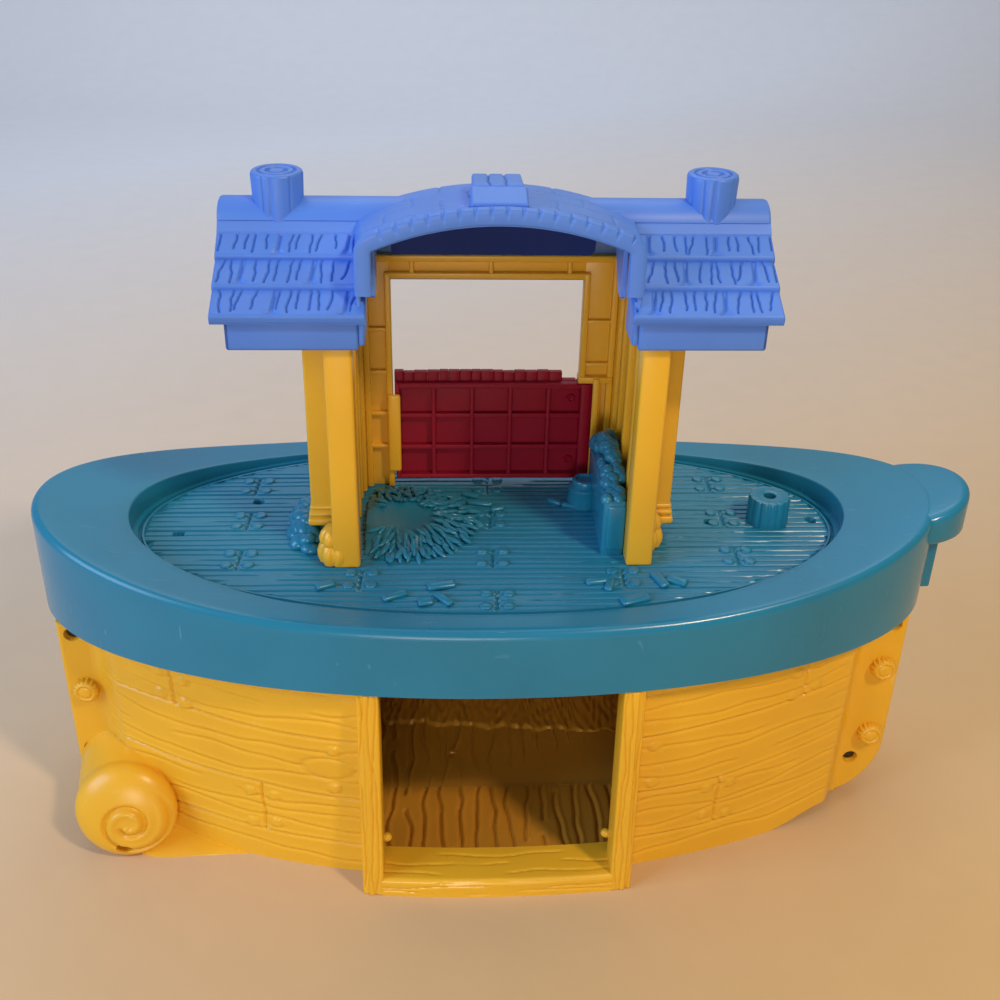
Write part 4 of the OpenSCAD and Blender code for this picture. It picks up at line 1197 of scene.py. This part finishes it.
@dataclass
class Cabin:
    """Yellow cabin walls: corner posts, bays, strips, foot ornaments and the window wall."""

    floor_z: float = 147.0
    top: float = 265.0
    mid_y: float = 1.5
    half_w: float = 60.7
    half_d: float = 41.5
    post_w: float = 12.0
    post_d: float = 12.0
    wall: float = 3.0
    bay_out: float = 11.5
    bay_half: float = 16.0
    bay_up: float = 9.0
    win_left: float = -47.0
    win_right: float = 44.0
    win_top: float = 110.4
    window_wall_top: float = 268.5
    gate_top: float = 57.5
    gate_right: float = 52.9
    bay_steps: tuple[Triple, ...] = ((8.2, 12.0, 1.6), (12.6, 15.4, 1.1), (16.0, 18.6, 0.6))
    knob_profile: tuple[Pair, ...] = (
        (5.0, 0.0), (7.2, 1.0), (8.2, 4.0), (8.3, 6.5), (7.4, 9.4), (6.6, 10.4), (7.0, 11.4), (7.2, 13.4),
        (6.2, 16.2), (4.2, 18.2), (1.0, 19.0))
    left_ribs: tuple[float, ...] = (22.0, 40.0, 62.0, 84.0)
    right_ribs: tuple[float, ...] = (66.0, 88.0)
    rail_ribs: tuple[float, ...] = (-37.0, 0.0, 37.0)

    def side_wall(self, end: End) -> None:
        """Builds one side wall: posts, panel, strips, bay with a stepped foot and the lobed ornament.

        Args:
            end: end of the boat that the wall faces.
        """
        skin = Skin()
        s, z0, z1 = end.value, self.floor_z, self.top
        wide, depth, mid, half = self.half_w, self.post_d, self.mid_y, self.bay_half
        out = wide + self.post_w
        front, back = mid - self.half_d, mid + self.half_d

        def block(x0: float, x1: float, y0: float, y1: float, low: float, high: float, r: float) -> None:
            """Adds a rounded block between two distances from the middle, on this wall's side."""
            skin.bar((s * x0, y0, low), (s * x1, y1, high), r)

        for y in (front, back - depth):
            block(wide, out, y, y + depth, z0, z1, 1.3)
        block(wide + 4.5, wide + 7.5, front + 2.0, back - 2.0, z0, z1, 0.6)
        for y in (front + depth - 1.0, front + depth + 11.0, mid + 4.0, back - depth - 7.0):
            block(wide + 1.6, wide + 5.6, y, y + 5.0, z0, z1, 0.9)
        block(wide + 6.0, out + self.bay_out, mid - half, mid + half, z0 + self.bay_up, z1, 1.2)
        for low, high, reach in self.bay_steps:
            block(wide + 6.0, out + self.bay_out + reach, mid - half - reach, mid + half + reach, z0 + low,
                  z0 + high, 1.3)
        word, node, set_back = (("bow", "cabin_left_wall", 7.0) if end is End.BOW
                                else ("stern", "cabin_right_wall", 19.0))
        skin.spun((s * (out - 0.6), front + set_back, z0 - 0.2), UP, self.knob_profile, 72,
                  lambda a, hh: -1.3 * np.abs(np.cos(3.5 * a)) ** 5)
        skin.piece(f"cabin_wall_{word}", YELLOW, Body.DECK, node)

    def window_wall(self) -> None:
        """Builds the rear wall: stiles, rail, window bead, ribs, stop tab and the jogged gate jamb.

        Bars that cross end some tenths of a millimetre apart, so that no two faces share a plane.
        """
        skin = Skin()
        z0, z1 = self.floor_z, self.window_wall_top
        y1 = self.mid_y + self.half_d
        y0 = y1 - self.wall
        rib, bead = 3.0, 3.0
        wide, left, right, gate = self.half_w, self.win_left, self.win_right, self.gate_right
        inner, ledge, head = y0 - rib, z0 + self.gate_top, z0 + self.win_top
        bars = [((-wide, y0, z0), (left - 0.5, y1, z1), 0.4),
                ((right + 0.5, y0, ledge + 0.5), (wide, y1, z1), 0.4),
                ((left - 1.0, y0 + 0.3, head + 0.5), (right + 1.0, y1 - 0.3, z1 - 0.3), 0.4),
                ((gate + 0.5, y0 + 0.3, z0), (wide, y1 - 0.3, ledge + 1.0), 0.4)]
        bars += [((x, inner, z0), (x + bead, y1 - 0.5, z1), 0.7) for x in (-wide, wide - bead)]
        bars += [((-wide + 0.2, inner + 0.2, z1 - bead), (wide - 0.2, y1 - 0.6, z1 + 0.2), 0.7),
                 ((left - bead, inner - 0.2, z0 + 0.2), (left, y1 + 0.1, head + bead - 0.3), 0.7),
                 ((right, inner - 0.2, ledge + 0.2), (right + bead, y1 + 0.1, head + bead - 0.3), 0.7),
                 ((left - bead, inner, head), (right + bead, y1 + 0.2, head + bead), 0.7),
                 ((right - 0.5, inner - 1.0, ledge), (wide - 0.3, y1 + 0.3, ledge + 3.4), 0.7),
                 ((gate, inner, z0), (gate + 2.4, y1 - 0.1, ledge + 0.6), 0.7),
                 ((gate - 2.0, inner - 2.0, z0), (gate + 1.2, inner + 0.2, ledge + 2.8), 0.7)]
        for x0, x1, places in ((-wide, left, self.left_ribs), (right, wide, self.right_ribs)):
            bars += [((x0 + 1.2, inner + 0.4, z0 + z), (x1 - 1.2, y1 - 0.7, z0 + z + 2.0), 0.5)
                     for z in places]
        bars += [((x - 1.0, inner + 0.5, head + 1.2), (x + 1.0, y1 - 0.7, z1 - 1.2), 0.5)
                 for x in self.rail_ribs]
        bars += [((left - 2.8, inner - 2.4, z0 + 10.0), (left + 3.6, inner + 0.4, z0 + 52.0), 1.3)]
        for one, other, r in bars:
            skin.bar(one, other, r)
        skin.piece("cabin_window_wall", YELLOW, Body.DECK, "cabin_back_wall")

    def build(self) -> None:
        """Builds the three walls."""
        self.side_wall(End.BOW)
        self.side_wall(End.STERN)
        self.window_wall()


@dataclass
class Roof:
    """Blue roof: shingle rows, ridge logs, stub chimneys, arched dormer, cap and fascia."""

    mid_y: float = 1.5
    half_len: float = 116.5
    eave_z: float = 269.0
    eave_y: float = 50.0
    ridge_z: float = 297.0
    ridge_y: float = 5.0
    ridge_r: float = 11.4
    step: float = 2.4
    nose: float = 1.8
    row: float = 13.0
    dormer: float = 57.5
    leg: float = 6.8
    vault_r: float = 133.0
    vault_z: float = 313.5
    vault_front: float = -44.5
    vault_back: float = 8.5
    leg_foot: float = 278.5
    log_end: float = 36.0
    log_rise: float = 8.8
    log_arc: float = 68.0
    strip_y: Pair = (13.4, 8.8)
    fascia_x: float = 111.5
    fascia_y: float = 45.0
    fascia_z: float = 254.5
    chimney_x: float = 91.7
    chimney_r: float = 11.0
    chimney_top: float = 317.0
    main_seams: tuple[tuple[float, ...], ...] = ((91.0, 62.5), (106.0, 77.0), (92.0, 62.5))
    board: float = 2.6
    crown: tuple[Pair, ...] = (
        (0.0, 1.6), (0.35, 0.5), (1.1, 0.0), (2.6, 0.1), (3.1, 0.8), (3.7, 0.8), (4.2, 0.1), (6.0, 0.1),
        (6.5, 0.9), (7.6, 0.9), (8.2, 0.2))
    cheek: tuple[Pair, ...] = (
        (-33.0, 274.5), (-32.0, 273.4), (-23.0, 273.4), (-5.0, 295.0), (-4.0, 300.0), (-33.0, 300.0))
    cheek_x: Pair = (50.6, 52.4)
    panel_foot: tuple[Pair, ...] = ((-45.0, 279.4), (42.0, 279.4), (44.0, 281.4), (44.5, 290.0))
    tile_row: float = 14.5
    tile_wide: float = 23.0
    cap_slabs: tuple[tuple[float, Pair, Pair, tuple[float, ...]], ...] = (
        (23.0, (-39.5, 314.6), (-27.0, 318.8), ()), (20.6, (-28.0, 319.2), (-4.0, 317.6), (6.6, 13.4)))

    def slope(self, y: float) -> float:
        """Height of the plain slope at a distance from the ridge plane."""
        return self.eave_z + (self.ridge_z - self.eave_z) * (self.eave_y - y) / (self.eave_y - self.ridge_y)

    def shingles(self, skin: Skin, side: Side, x0: float, x1: float, rank: int, seams: Sequence[float],
                 fine: float) -> None:
        """Adds one shingle row: a carved slab laid down the slope, its lower edge standing proud.

        Args:
            skin: pool that takes it.
            side: long side of the boat.
            x0: first station.
            x1: last station.
            rank: row number from the ridge.
            seams: stations of the tile seams, which flare at the lower edge.
            fine: sample spacing.
        """
        low = self.eave_y - (2 - rank) * self.row
        high = low - self.row - 1.5
        z_high, z_low = self.slope(high) + (2.4 if rank == 0 else -0.3), self.slope(low) + self.step
        fall = np.array([0.0, side.value * (low - high), z_low - z_high])
        long = float(np.linalg.norm(fall))
        flip = side is Side.REAR
        wide = x1 - x0
        dice = np.random.default_rng(600 + rank + int(x0) + (50 if flip else 0))
        at = np.arange(3.0, wide - 1.0, 4.6)
        at = at + dice.uniform(-1.2, 1.2, len(at))
        leans = dice.uniform(-0.3, 0.1, len(at))
        stops = self.nose + dice.uniform(0.2, 2.2, len(at)) ** 1.3

        def carve(u: Array, v: Array) -> Array:
            """Row face: a rounded nose, leaning strokes and tile seams that widen above the nose.

            Args:
                u: places along the row.
                v: places down the slope.

            Returns:
                Height over the plain face.
            """
            uu = wide - u if flip else u
            rest = long - v
            h = eased(uu, v + 6.0, wide, long + 12.0, 1.0)
            h += rounding(rest, self.nose)
            for place, lean, stop in zip(at, leans, stops):
                if min(abs(place + x0 - m) for m in seams) > 2.6:
                    bent = place + lean * (v - 0.4 * long) + 0.5 * wobble(v, 700 + int(9.0 * place), 15.0)
                    h += ditch(uu - bent, 1.0, 0.38) * smooth(rest, stop - 0.5, stop + 0.5)
            flare = 0.7 + 2.2 * smooth(-rest, -self.nose - 3.0, -self.nose + 0.4)
            for m in seams:
                cut = ditch((uu - (m - x0) - 0.1 * rest) / flare, 1.2, 1.0)
                h += cut * smooth(rest, self.nose - 0.6, self.nose)
            return h

        across = (-1.0, 0.0, 0.0) if flip else (1.0, 0.0, 0.0)
        start = (x1 if flip else x0, self.mid_y + side.value * high, z_high)
        u = ticks(0.0, wide, fine, (0.0, wide), 0.25, 1.5)
        v = -ticks(0.0, long, fine * 1.5, (long,), 0.25, self.nose)[::-1]
        skin.slab(start, across, fall / long * -1.0, u, v, lambda p, q: carve(p, -q), 4.6)

    def slopes(self) -> None:
        """Builds the shingle rows of both slopes."""
        skin = Skin()
        for rank, seams in enumerate(self.main_seams):
            for s in BOTH:
                x0, x1 = sorted((s * self.half_len, s * (self.dormer - (3.4 if rank == 2 else 0.5))))
                self.shingles(skin, Side.DOORWAY, x0, x1, rank, [s * m for m in seams], 0.27)
        skin.piece("roof_front_shingles", BLUE, Body.DECK, "roof", 45.0)
        skin = Skin()
        tile = 29.0
        for rank in range(3):
            offset = tile / 2.0 if rank == 1 else 0.0
            self.shingles(skin, Side.REAR, -self.half_len, self.half_len, rank,
                          [float(m) for m in np.arange(-101.5 + offset, 110.0, tile)], 0.6)
        skin.piece("roof_rear_shingles", BLUE, Body.DECK, "roof", 45.0)

    def fascia(self) -> None:
        """Builds the plain roof under the shingles, the gable ends and the fascia boards."""
        skin = Skin()
        mid, top, end, cheek = self.mid_y, 4.0, self.half_len - 0.4, self.dormer - 1.0
        y = np.array([self.eave_y - 1.0, top, top, self.eave_y - 6.0])
        z = np.array([self.slope(y[0]) - 1.0, self.slope(top) - 1.0, self.slope(top) - 3.6,
                      self.eave_z - 3.4])
        for side, ends in ((Side.DOORWAY, (-end, -cheek)), (Side.DOORWAY, (cheek, end)),
                           (Side.REAR, (-end, end))):
            skin.prism(np.stack([side.value * y + mid, z], 1), ends)
        y = np.array([-self.eave_y + 2.0, -top, top, self.eave_y - 2.0])
        z = np.array([self.eave_z - 1.0, self.ridge_z + 0.4, self.ridge_z + 0.4, self.eave_z - 1.0])
        for s in BOTH:
            skin.prism(np.stack([y + mid, z], 1), (s * (self.half_len - 3.0), s * (self.half_len - 0.6)))
        r, t, far, z0, z1 = 1.6, self.board, self.fascia_x, self.fascia_z, self.eave_z + 1.0
        f0, f1 = mid - self.fascia_y, mid + self.fascia_y
        for s in BOTH:
            skin.bar((s * far, f0, z0), (s * self.dormer, f0 + t, z1), r)
            skin.bar((s * far, f0, z0), (s * (far - t), f1, z1), r)
            skin.bar((s * (self.dormer - t), f0 + 0.4, z0 + 2.0), (s * self.dormer, f0 + 20.0, z1 + 6.0), 1.0)
        skin.bar((-far, f1 - t, z0), (far, f1, z1), r)
        skin.piece("roof_fascia", BLUE, Body.DECK, "roof")

    def ridge(self) -> None:
        """Builds the ridge logs with their seam, the plain top strip and the grooved stub chimneys."""
        skin = Skin()
        foot = self.ridge_z - 8.0
        bow = np.radians(np.linspace(-self.log_arc, self.log_arc, 60))
        r, top = self.chimney_r, self.chimney_top - foot
        trunk = [(r - 0.2, -8.0), (r - 0.2, 4.0), (r - 0.2, 9.0), (r - 0.4, top * 0.5)]
        trunk += [(r - inset, top - drop) for inset, drop in self.crown] + [(0.6, top - 0.2)]
        for s in BOTH:
            long = self.half_len - self.log_end
            logs = []
            for d, inset in ((0.0, 1.4), (0.5, 0.4), (1.5, 0.0), (long - 1.5, 0.0), (long, 0.0)):
                girth = self.ridge_r - inset
                logs.append(np.stack([
                    np.full_like(bow, s * (self.half_len - d)), self.mid_y + girth * np.sin(bow),
                    self.ridge_z + self.log_rise - self.ridge_r + girth * np.cos(bow)], 1))
            skin.tube(np.stack(logs)[::int(-s)])
            for y in BOTH:
                low, high = self.strip_y
                z = self.slope(low) + 3.0, self.ridge_z + 2.9
                ring = np.array([[y * low, z[0]], [y * high, z[1]], [y * (high - 3.0), z[1] - 4.0],
                                 [y * low, z[0] - 5.0]])
                ring[:, 0] += self.mid_y
                skin.prism(ring, sorted((s * (self.half_len - 0.2), s * (self.dormer - 2.0))))
            count = 10
            turns = np.random.default_rng(90 + int(s)).uniform(-0.2, 0.2, count)
            turns = turns + np.arange(count) * math.tau / count
            cuts = [(float(at), width) for at, width in zip(turns, (0.045, 0.075) * (count // 2))]

            def bark(angle: Array, height: Array) -> Array:
                """Change of the radius: narrow upright grooves at uneven angles that waver a little.

                Args:
                    angle: angles round the stub.
                    height: heights over its foot.

                Returns:
                    Change of the radius.
                """
                change = np.zeros_like(angle)
                for at, width in cuts:
                    turn = angle - at - 0.04 * wobble(height, 900 + int(at * 100), 20.0)
                    change += ditch((turn + math.pi) % math.tau - math.pi, 0.8, width)
                return change * smooth(-height, -top + 0.6, -top + 2.0)

            skin.spun((s * self.chimney_x, self.mid_y, foot), UP, trunk, 220, bark)
        skin.piece("roof_ridge", BLUE, Body.DECK, "roof")

    def vault_height(self, x: Array, y: Array) -> Array:
        """Height of the vault: a wide circle across the boat that falls a little to the back."""
        return (self.vault_z - self.vault_r + np.sqrt(self.vault_r ** 2 - x * x)
                - 3.2 * (y - self.vault_front) / (self.vault_back - self.vault_front))

    def vault_tiles(self, x: Array, y: Array) -> Array:
        """Relief of the vault: the outlines of overlapping tiles in rows behind the arch.

        Args:
            x: places along the boat.
            y: places across the boat.

        Returns:
            Height over the plain vault.
        """
        h = np.zeros_like(x)
        for row_y in (-33.0, -18.5, -4.5):
            h += ditch(y - row_y - 0.6 * np.sign(np.sin(x * math.tau / (2.0 * self.tile_wide))), 0.5, 0.5)
        for row in range(4):
            start, stop = -47.5 + self.tile_row * row, 33.0 - self.tile_row * row
            held = smooth(y, start, start + 1.0) * smooth(-y, stop - 0.5, stop + 0.5)
            for at in np.arange(-57.5 + self.tile_wide / 2.0 * (row % 2), 58.0, self.tile_wide):
                h += ditch(x - at - 0.4 * wobble(y, int(at) + 700, 20.0), 0.55, 0.5) * held
        return h

    def dormer_piece(self) -> None:
        """Builds the vault, its notched arch band, legs, closing panel and the cap block."""
        skin = Skin()
        x = ticks(-self.dormer, self.dormer, 0.6, (-self.dormer, self.dormer), 0.25, 2.5)
        y = ticks(self.vault_front, self.vault_back, 0.7)
        xx, yy = np.meshgrid(x, y, indexing="ij")
        drop = rounding(np.minimum(self.dormer - np.abs(xx), yy - self.vault_front + 1.2), 3.0)
        top = self.vault_height(xx, yy) + drop + self.vault_tiles(xx, yy)
        wide = xx * (1.0 + 0.055 * (yy - self.vault_front) / (self.vault_back - self.vault_front))
        under = self.vault_height(xx, yy) - 6.2
        skin.solid(np.stack([wide, yy, top], -1), np.stack([wide * 0.985, yy, under], -1))
        for s in BOTH:
            skin.bar((s * (self.dormer + 0.3), self.vault_front + 1.0, self.eave_z - 1.5),
                     (s * (self.dormer - 1.6), self.mid_y + 2.0, 296.0), 0.6)
            skin.prism(np.array(self.cheek), [s * x for x in self.cheek_x])
        self.band(skin)
        self.cap(skin)
        skin.piece("roof_dormer", BLUE, Body.DECK, "roof")
        skin = Skin()
        x = np.linspace(52.0, -52.0, 40)
        arch = np.stack([x, self.vault_height(x, np.full_like(x, self.vault_back)) - 3.0], 1)
        ring = np.concatenate([self.panel_foot, arch, [(-45.5, 290.0)]])
        skin.prism(ring, (self.vault_back - 2.6, self.vault_back - 0.3), 1)
        # The closing panel takes the dark blue that paints the shadow under the vault.
        skin.piece("roof_lining", VAULT_SHADE_BLUE, Body.DECK, "roof")

    def band(self, skin: Skin) -> None:
        """Adds the arch band with its legs: one rounded section carried along a line.

        The line is a circle under the vault's front edge that turns by a small circle into each
        upright leg. Shallow notches cross the band's upper front edge.

        Args:
            skin: pool that takes it.
        """
        half, knee, foot = self.leg / 2.0, 5.0, 8
        level = self.vault_z + 0.9 - self.vault_r
        mid_r, hip = self.vault_r - half, self.dormer + 0.8 - half
        last = math.asin((hip - knee) / (mid_r - knee))
        angle = np.concatenate([np.linspace(0.0, last, 230), np.linspace(last, math.pi / 2.0, 12)[1:],
                                np.full(foot, math.pi / 2.0)])
        centre_x = np.where(angle > last, hip - knee, 0.0)
        centre_z = np.where(angle > last, level + (mid_r - knee) * math.cos(last), level)
        r = np.where(angle > last, knee, mid_r)
        centre_z[-foot:] = np.linspace(centre_z[-1], self.leg_foot, foot + 1)[1:]
        flip = np.array([-1.0, 1.0])
        line = np.stack([centre_x + r * np.sin(angle), centre_z + r * np.cos(angle)], 1)
        out = np.stack([np.sin(angle), np.cos(angle)], 1)
        line = np.concatenate([(line * flip)[:0:-1], line])
        out = np.concatenate([(out * flip)[:0:-1], out])
        notch = ditch(((line[:, 0] + 100.0) % 6.2) - 3.1, 0.9, 0.6)
        notch = notch * (line[:, 1] > level + mid_r * math.cos(last))
        proud, rings = -0.6, []
        for n, depth, share in ((-half, 3.0, 0.0), (-half, 0.1, 0.0), (-half + 0.25, -0.35, 0.0),
                                (-half + 0.7, proud, 0.0), (0.3, proud, 0.0), (1.2, proud, 0.5),
                                (half - 0.7, proud, 1.0), (half - 0.2, -0.3, 1.0), (half, 0.3, 1.0),
                                (half, 3.0, 0.0)):
            place = line + out * (n + share * notch)[:, None]
            y = self.vault_front + depth - 0.6 * share * notch
            rings.append(np.stack([place[:, 0], y, place[:, 1]], 1))
        skin.tube(np.stack(rings, 1))

    def cap(self, skin: Skin) -> None:
        """Adds the cap block: a plain slab that leans to the front and one of three short boards behind it.

        Args:
            skin: pool that takes it.
        """
        for wide, (y0, z0), (y1, z1), cuts in self.cap_slabs:
            long = math.hypot(y1 - y0, z1 - z0)

            def carve(p: Array, q: Array) -> Array:
                """Cap face: rounded edge and the gaps between the boards, which waver a little.

                Args:
                    p: places across the slab.
                    q: places along the slab.

                Returns:
                    Height over the plain face.
                """
                h = eased(p, q, wide, long, 1.2)
                for i, cut in enumerate(cuts):
                    h += ditch(p - cut - 0.4 * wobble(q, 950 + i, 24.0), 0.9, 0.5)
                return h

            skin.slab((-0.5 - 0.5 * wide, y0, z0), (1.0, 0.0, 0.0), (0.0, (y1 - y0) / long, (z1 - z0) / long),
                      ticks(0.0, wide, 0.45), ticks(0.0, long, 0.45), carve, 6.5)

    def build(self) -> None:
        """Builds the whole roof."""
        self.slopes()
        self.fascia()
        self.ridge()
        self.dormer_piece()


@dataclass
class Gate:
    """Maroon gate: ribbed panel in front, uneven plank ends behind, on a round hinge stile."""

    hinge: Pair = (48.5, 41.0)
    low: float = 151.5
    tall: float = 52.0
    wide: float = 94.5
    thick: float = 7.0
    planks: int = 17
    cells: tuple[int, int] = (5, 3)
    frame_w: float = 2.4
    ring_profile: tuple[Pair, ...] = ((2.2, 0.0), (2.2, 1.9), (1.9, 2.3), (1.4, 2.3), (1.1, 1.6), (0.3, 1.4))

    def build(self) -> None:
        """Builds the gate."""
        skin = Skin()
        hx, hy = self.hinge
        x0, x1, y0 = hx - self.wide, hx, hy - self.thick / 2.0
        z0, tall, edge = self.low, self.tall, self.frame_w
        z1 = z0 + tall
        skin.bar((x0 + 0.5, y0 + 4.3, z0 + 0.5), (x1, y0 + 5.8, z1 - 0.6), 0.3)
        for z in (z0, z1 - edge):
            skin.bar((x0 + 0.3, y0 + 0.2, z), (x1, y0 + 5.9, z + edge), 0.6)
        for a, b in ((x0, x0 + edge), (x1 - 3.0, x1 + 0.4)):
            skin.bar((a, y0, z0 - 0.1), (b, y0 + 6.0, z1 + 0.1), 0.6)
        for i in range(1, self.cells[0]):
            at = x0 + i * self.wide / self.cells[0]
            skin.bar((at - 1.0, y0 + 0.6, z0 + 0.5), (at + 1.0, y0 + 5.0, z1 - 0.5), 0.5)
        for i in range(1, self.cells[1]):
            at = z0 + i * tall / self.cells[1]
            skin.bar((x0 + 0.5, y0 + 1.2, at - 1.2), (x1 - 0.5, y0 + 5.0, at + 1.2), 0.5)
        dice = np.random.default_rng(3)
        cuts = np.concatenate(([0.0], np.cumsum(dice.uniform(0.75, 1.25, self.planks))))
        cuts = x0 - 0.3 + cuts / cuts[-1] * (self.wide + 0.2)
        for a, b in zip(cuts[:-1], cuts[1:]):
            lift = dice.uniform(4.2, 5.2) if b < hx - 8.0 else 0.3
            back = self.thick + (1.6 if b < hx - 3.0 else 0.2)
            skin.bar((a + 0.02, y0 + 5.2 - dice.uniform(0.0, 0.4), z0 + dice.uniform(0.0, 0.8)),
                     (b - 0.02, y0 + back, z1 + lift), 0.45)
        stile = [(2.4, 0.0), (3.3, 0.1), (3.5, 0.6), (3.5, tall - 0.6), (3.3, tall - 0.1), (2.4, tall)]
        skin.spun((hx, hy, z0), UP, stile, 32)
        for z in (9.0, tall - 9.0):
            skin.spun((hx - 7.5, y0 + 5.4, z0 + z), (0.0, -1.0, 0.0), self.ring_profile, 20)
        skin.piece("ribbed_gate", MAROON, Body.GATE, "gate")


@dataclass
class Studio:
    """Floor, backdrop, lamps and camera."""

    floor_hue: str = "D8B274"
    wall_hue: str = "E4EAF4"
    far_y: float = 2200.0
    near_y: float = -2600.0
    half_x: float = 3600.0
    wall_z: float = 2600.0
    bend_r: float = 600.0
    mottle: float = 25.0
    fade: Triple = (-0.55, 1.0, 0.0)
    world_hue: str = "E6EBF2"
    world_light: float = 0.28
    eye: Triple = (-26.1, -516.2, 449.8)
    lens: float = 44.43
    sensor: float = 36.0
    pitch: float = 29.28
    yaw: float = 3.39
    roll: float = 1.36
    lamps: tuple[tuple[str, Triple, Triple, float, float, str], ...] = (
        ("key_lamp", (720.0, -868.0, 1400.0), (0.0, 0.0, 140.0), 11.0, 160.0, "FFE2BC"),
        ("window_lamp", (-1500.0, -700.0, 900.0), (0.0, 0.0, 140.0), 19.0, 1000.0, "C4DAFF"),
        ("front_lamp", (-150.0, -1500.0, 330.0), (0.0, 0.0, 140.0), 5.0, 420.0, "FFF4E6"),
        ("top_lamp", (200.0, 500.0, 1700.0), (0.0, 0.0, 140.0), 6.0, 1500.0, "FFF6EA"),
        ("backdrop_lamp", (0.0, 1500.0, 1900.0), (0.0, 2000.0, 0.0), 10.0, 1600.0, "EEF4FF"))

    def paper(self) -> bpy.types.Material:
        """Makes the floor's matt paper: warm near the boat, paler to the back, and faintly mottled.

        Returns:
            The new material.
        """
        made, tree, spot = blank("matt_pale_paper")
        mottle = wire(tree, "ShaderNodeTexNoise",
                      {"Vector": spot, "Scale": 1.0 / (self.mottle * MM), "Detail": 4.0})
        tone = wire(tree, "ShaderNodeMapRange",
                    {"Value": mottle.outputs["Fac"], "To Min": 0.94, "To Max": 1.0})
        deep = wire(tree, "ShaderNodeVectorMath", {0: spot, 1: self.fade}, operation="DOT_PRODUCT")
        away = wire(tree, "ShaderNodeMapRange",
                    {"Value": deep.outputs["Value"], "From Min": -0.35, "From Max": 1.5})
        colour = linear(self.wall_hue)
        for share, other in ((away, linear(self.floor_hue)), (tone, linear("000000"))):
            colour = wire(tree, "ShaderNodeMix", {
                MIX_SHARE: share.outputs["Result"], MIX_FIRST: other, MIX_SECOND: colour},
                data_type="RGBA").outputs[MIX_OUT]
        shader = wire(tree, "ShaderNodeBsdfPrincipled", {"Base Color": colour, "Roughness": 0.9})
        wire(tree, "ShaderNodeOutputMaterial", {"Surface": shader.outputs["BSDF"]})
        return made

    def floor(self) -> None:
        """Builds the pale floor that bends up into a backdrop: a flat run, a quarter circle and a wall."""
        bend = np.linspace(0.0, math.pi / 2.0, 24)
        r = self.bend_r
        y = np.concatenate([[self.near_y, -600.0, 0.0], self.far_y - r + r * np.sin(bend), [self.far_y]])
        z = np.concatenate([[0.0, 0.0, 0.0], r - r * np.cos(bend), [self.wall_z]])
        x = np.linspace(-self.half_x, self.half_x, 9)
        grid = np.stack(np.broadcast_arrays(x[:, None], y, z), -1)
        mesh = bpy.data.meshes.new("studio_floor")
        mesh.from_pydata((grid.reshape(-1, 3) * MM).tolist(), [], Skin.lattice(len(x), len(y)).tolist())
        mesh.polygons.foreach_set("use_smooth", np.ones(len(mesh.polygons), bool))
        mesh.materials.append(self.paper())
        made = bpy.data.objects.new("studio_floor", mesh)
        bpy.context.scene.collection.objects.link(made)

    def light(self) -> None:
        """Sets the even world light and the soft lamps."""
        world = bpy.data.worlds.new("studio_world")
        world.use_nodes = True
        sky = world.node_tree.nodes["Background"].inputs
        sky["Color"].default_value, sky["Strength"].default_value = linear(self.world_hue), self.world_light
        bpy.context.scene.world = world
        for name, place, aim, power, size, hue in self.lamps:
            lamp = bpy.data.lights.new(name, "AREA")
            lamp.energy, lamp.size, lamp.color = power, size * MM, linear(hue)[:3]
            made = bpy.data.objects.new(name, lamp)
            made.location = Vector(place) * MM
            made.rotation_euler = (Vector(aim) - Vector(place)).to_track_quat("-Z", "Y").to_euler()
            bpy.context.scene.collection.objects.link(made)

    def camera(self) -> None:
        """Sets the camera: yaw about the upright, pitch down, then roll about the line of sight."""
        pitch, yaw, roll = (math.radians(a) for a in (self.pitch, self.yaw, self.roll))
        level = Vector((math.sin(yaw), math.cos(yaw), 0.0))
        ahead = level * math.cos(pitch) - Vector(UP) * math.sin(pitch)
        right = Vector((math.cos(yaw), -math.sin(yaw), 0.0))
        up = right.cross(ahead)
        across = right * math.cos(roll) + up * math.sin(roll)
        above = up * math.cos(roll) - right * math.sin(roll)
        turn = Matrix((across, above, -ahead)).transposed().to_4x4()
        data = bpy.data.cameras.new("camera")
        data.lens, data.sensor_width, data.clip_start = self.lens, self.sensor, 0.01
        made = bpy.data.objects.new("camera", data)
        made.matrix_world = Matrix.Translation(Vector(self.eye) * MM) @ turn
        bpy.context.scene.collection.objects.link(made)
        bpy.context.scene.camera = made

    def build(self) -> None:
        """Builds the stage."""
        self.floor()
        self.light()
        self.camera()
        bpy.context.scene.view_settings.view_transform = "Standard"


@dataclass
class Fasteners:
    """Screws and hinge pin, whose solids stay and are dressed in blackened steel."""

    nodes: tuple[str, ...] = ("hull_screws", "cabin_screws", "gate_hinge_pin")

    def build(self) -> None:
        """Dresses the solids."""
        for name in self.nodes:
            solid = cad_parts[name]
            if not solid.material_slots:
                solid.data.materials.append(None)
            for slot in solid.material_slots:
                slot.material = STEEL.material()
            LOG.info("%s: dressed", name)


def main() -> None:
    """Builds the object in order."""
    logging.basicConfig(level=logging.INFO, format="%(message)s")
    for part in (Hull(), Deck(), Cabin(), Roof(), Gate(), Fasteners(), Studio()):
        part.build()


if __name__ == "__main__":
    main()
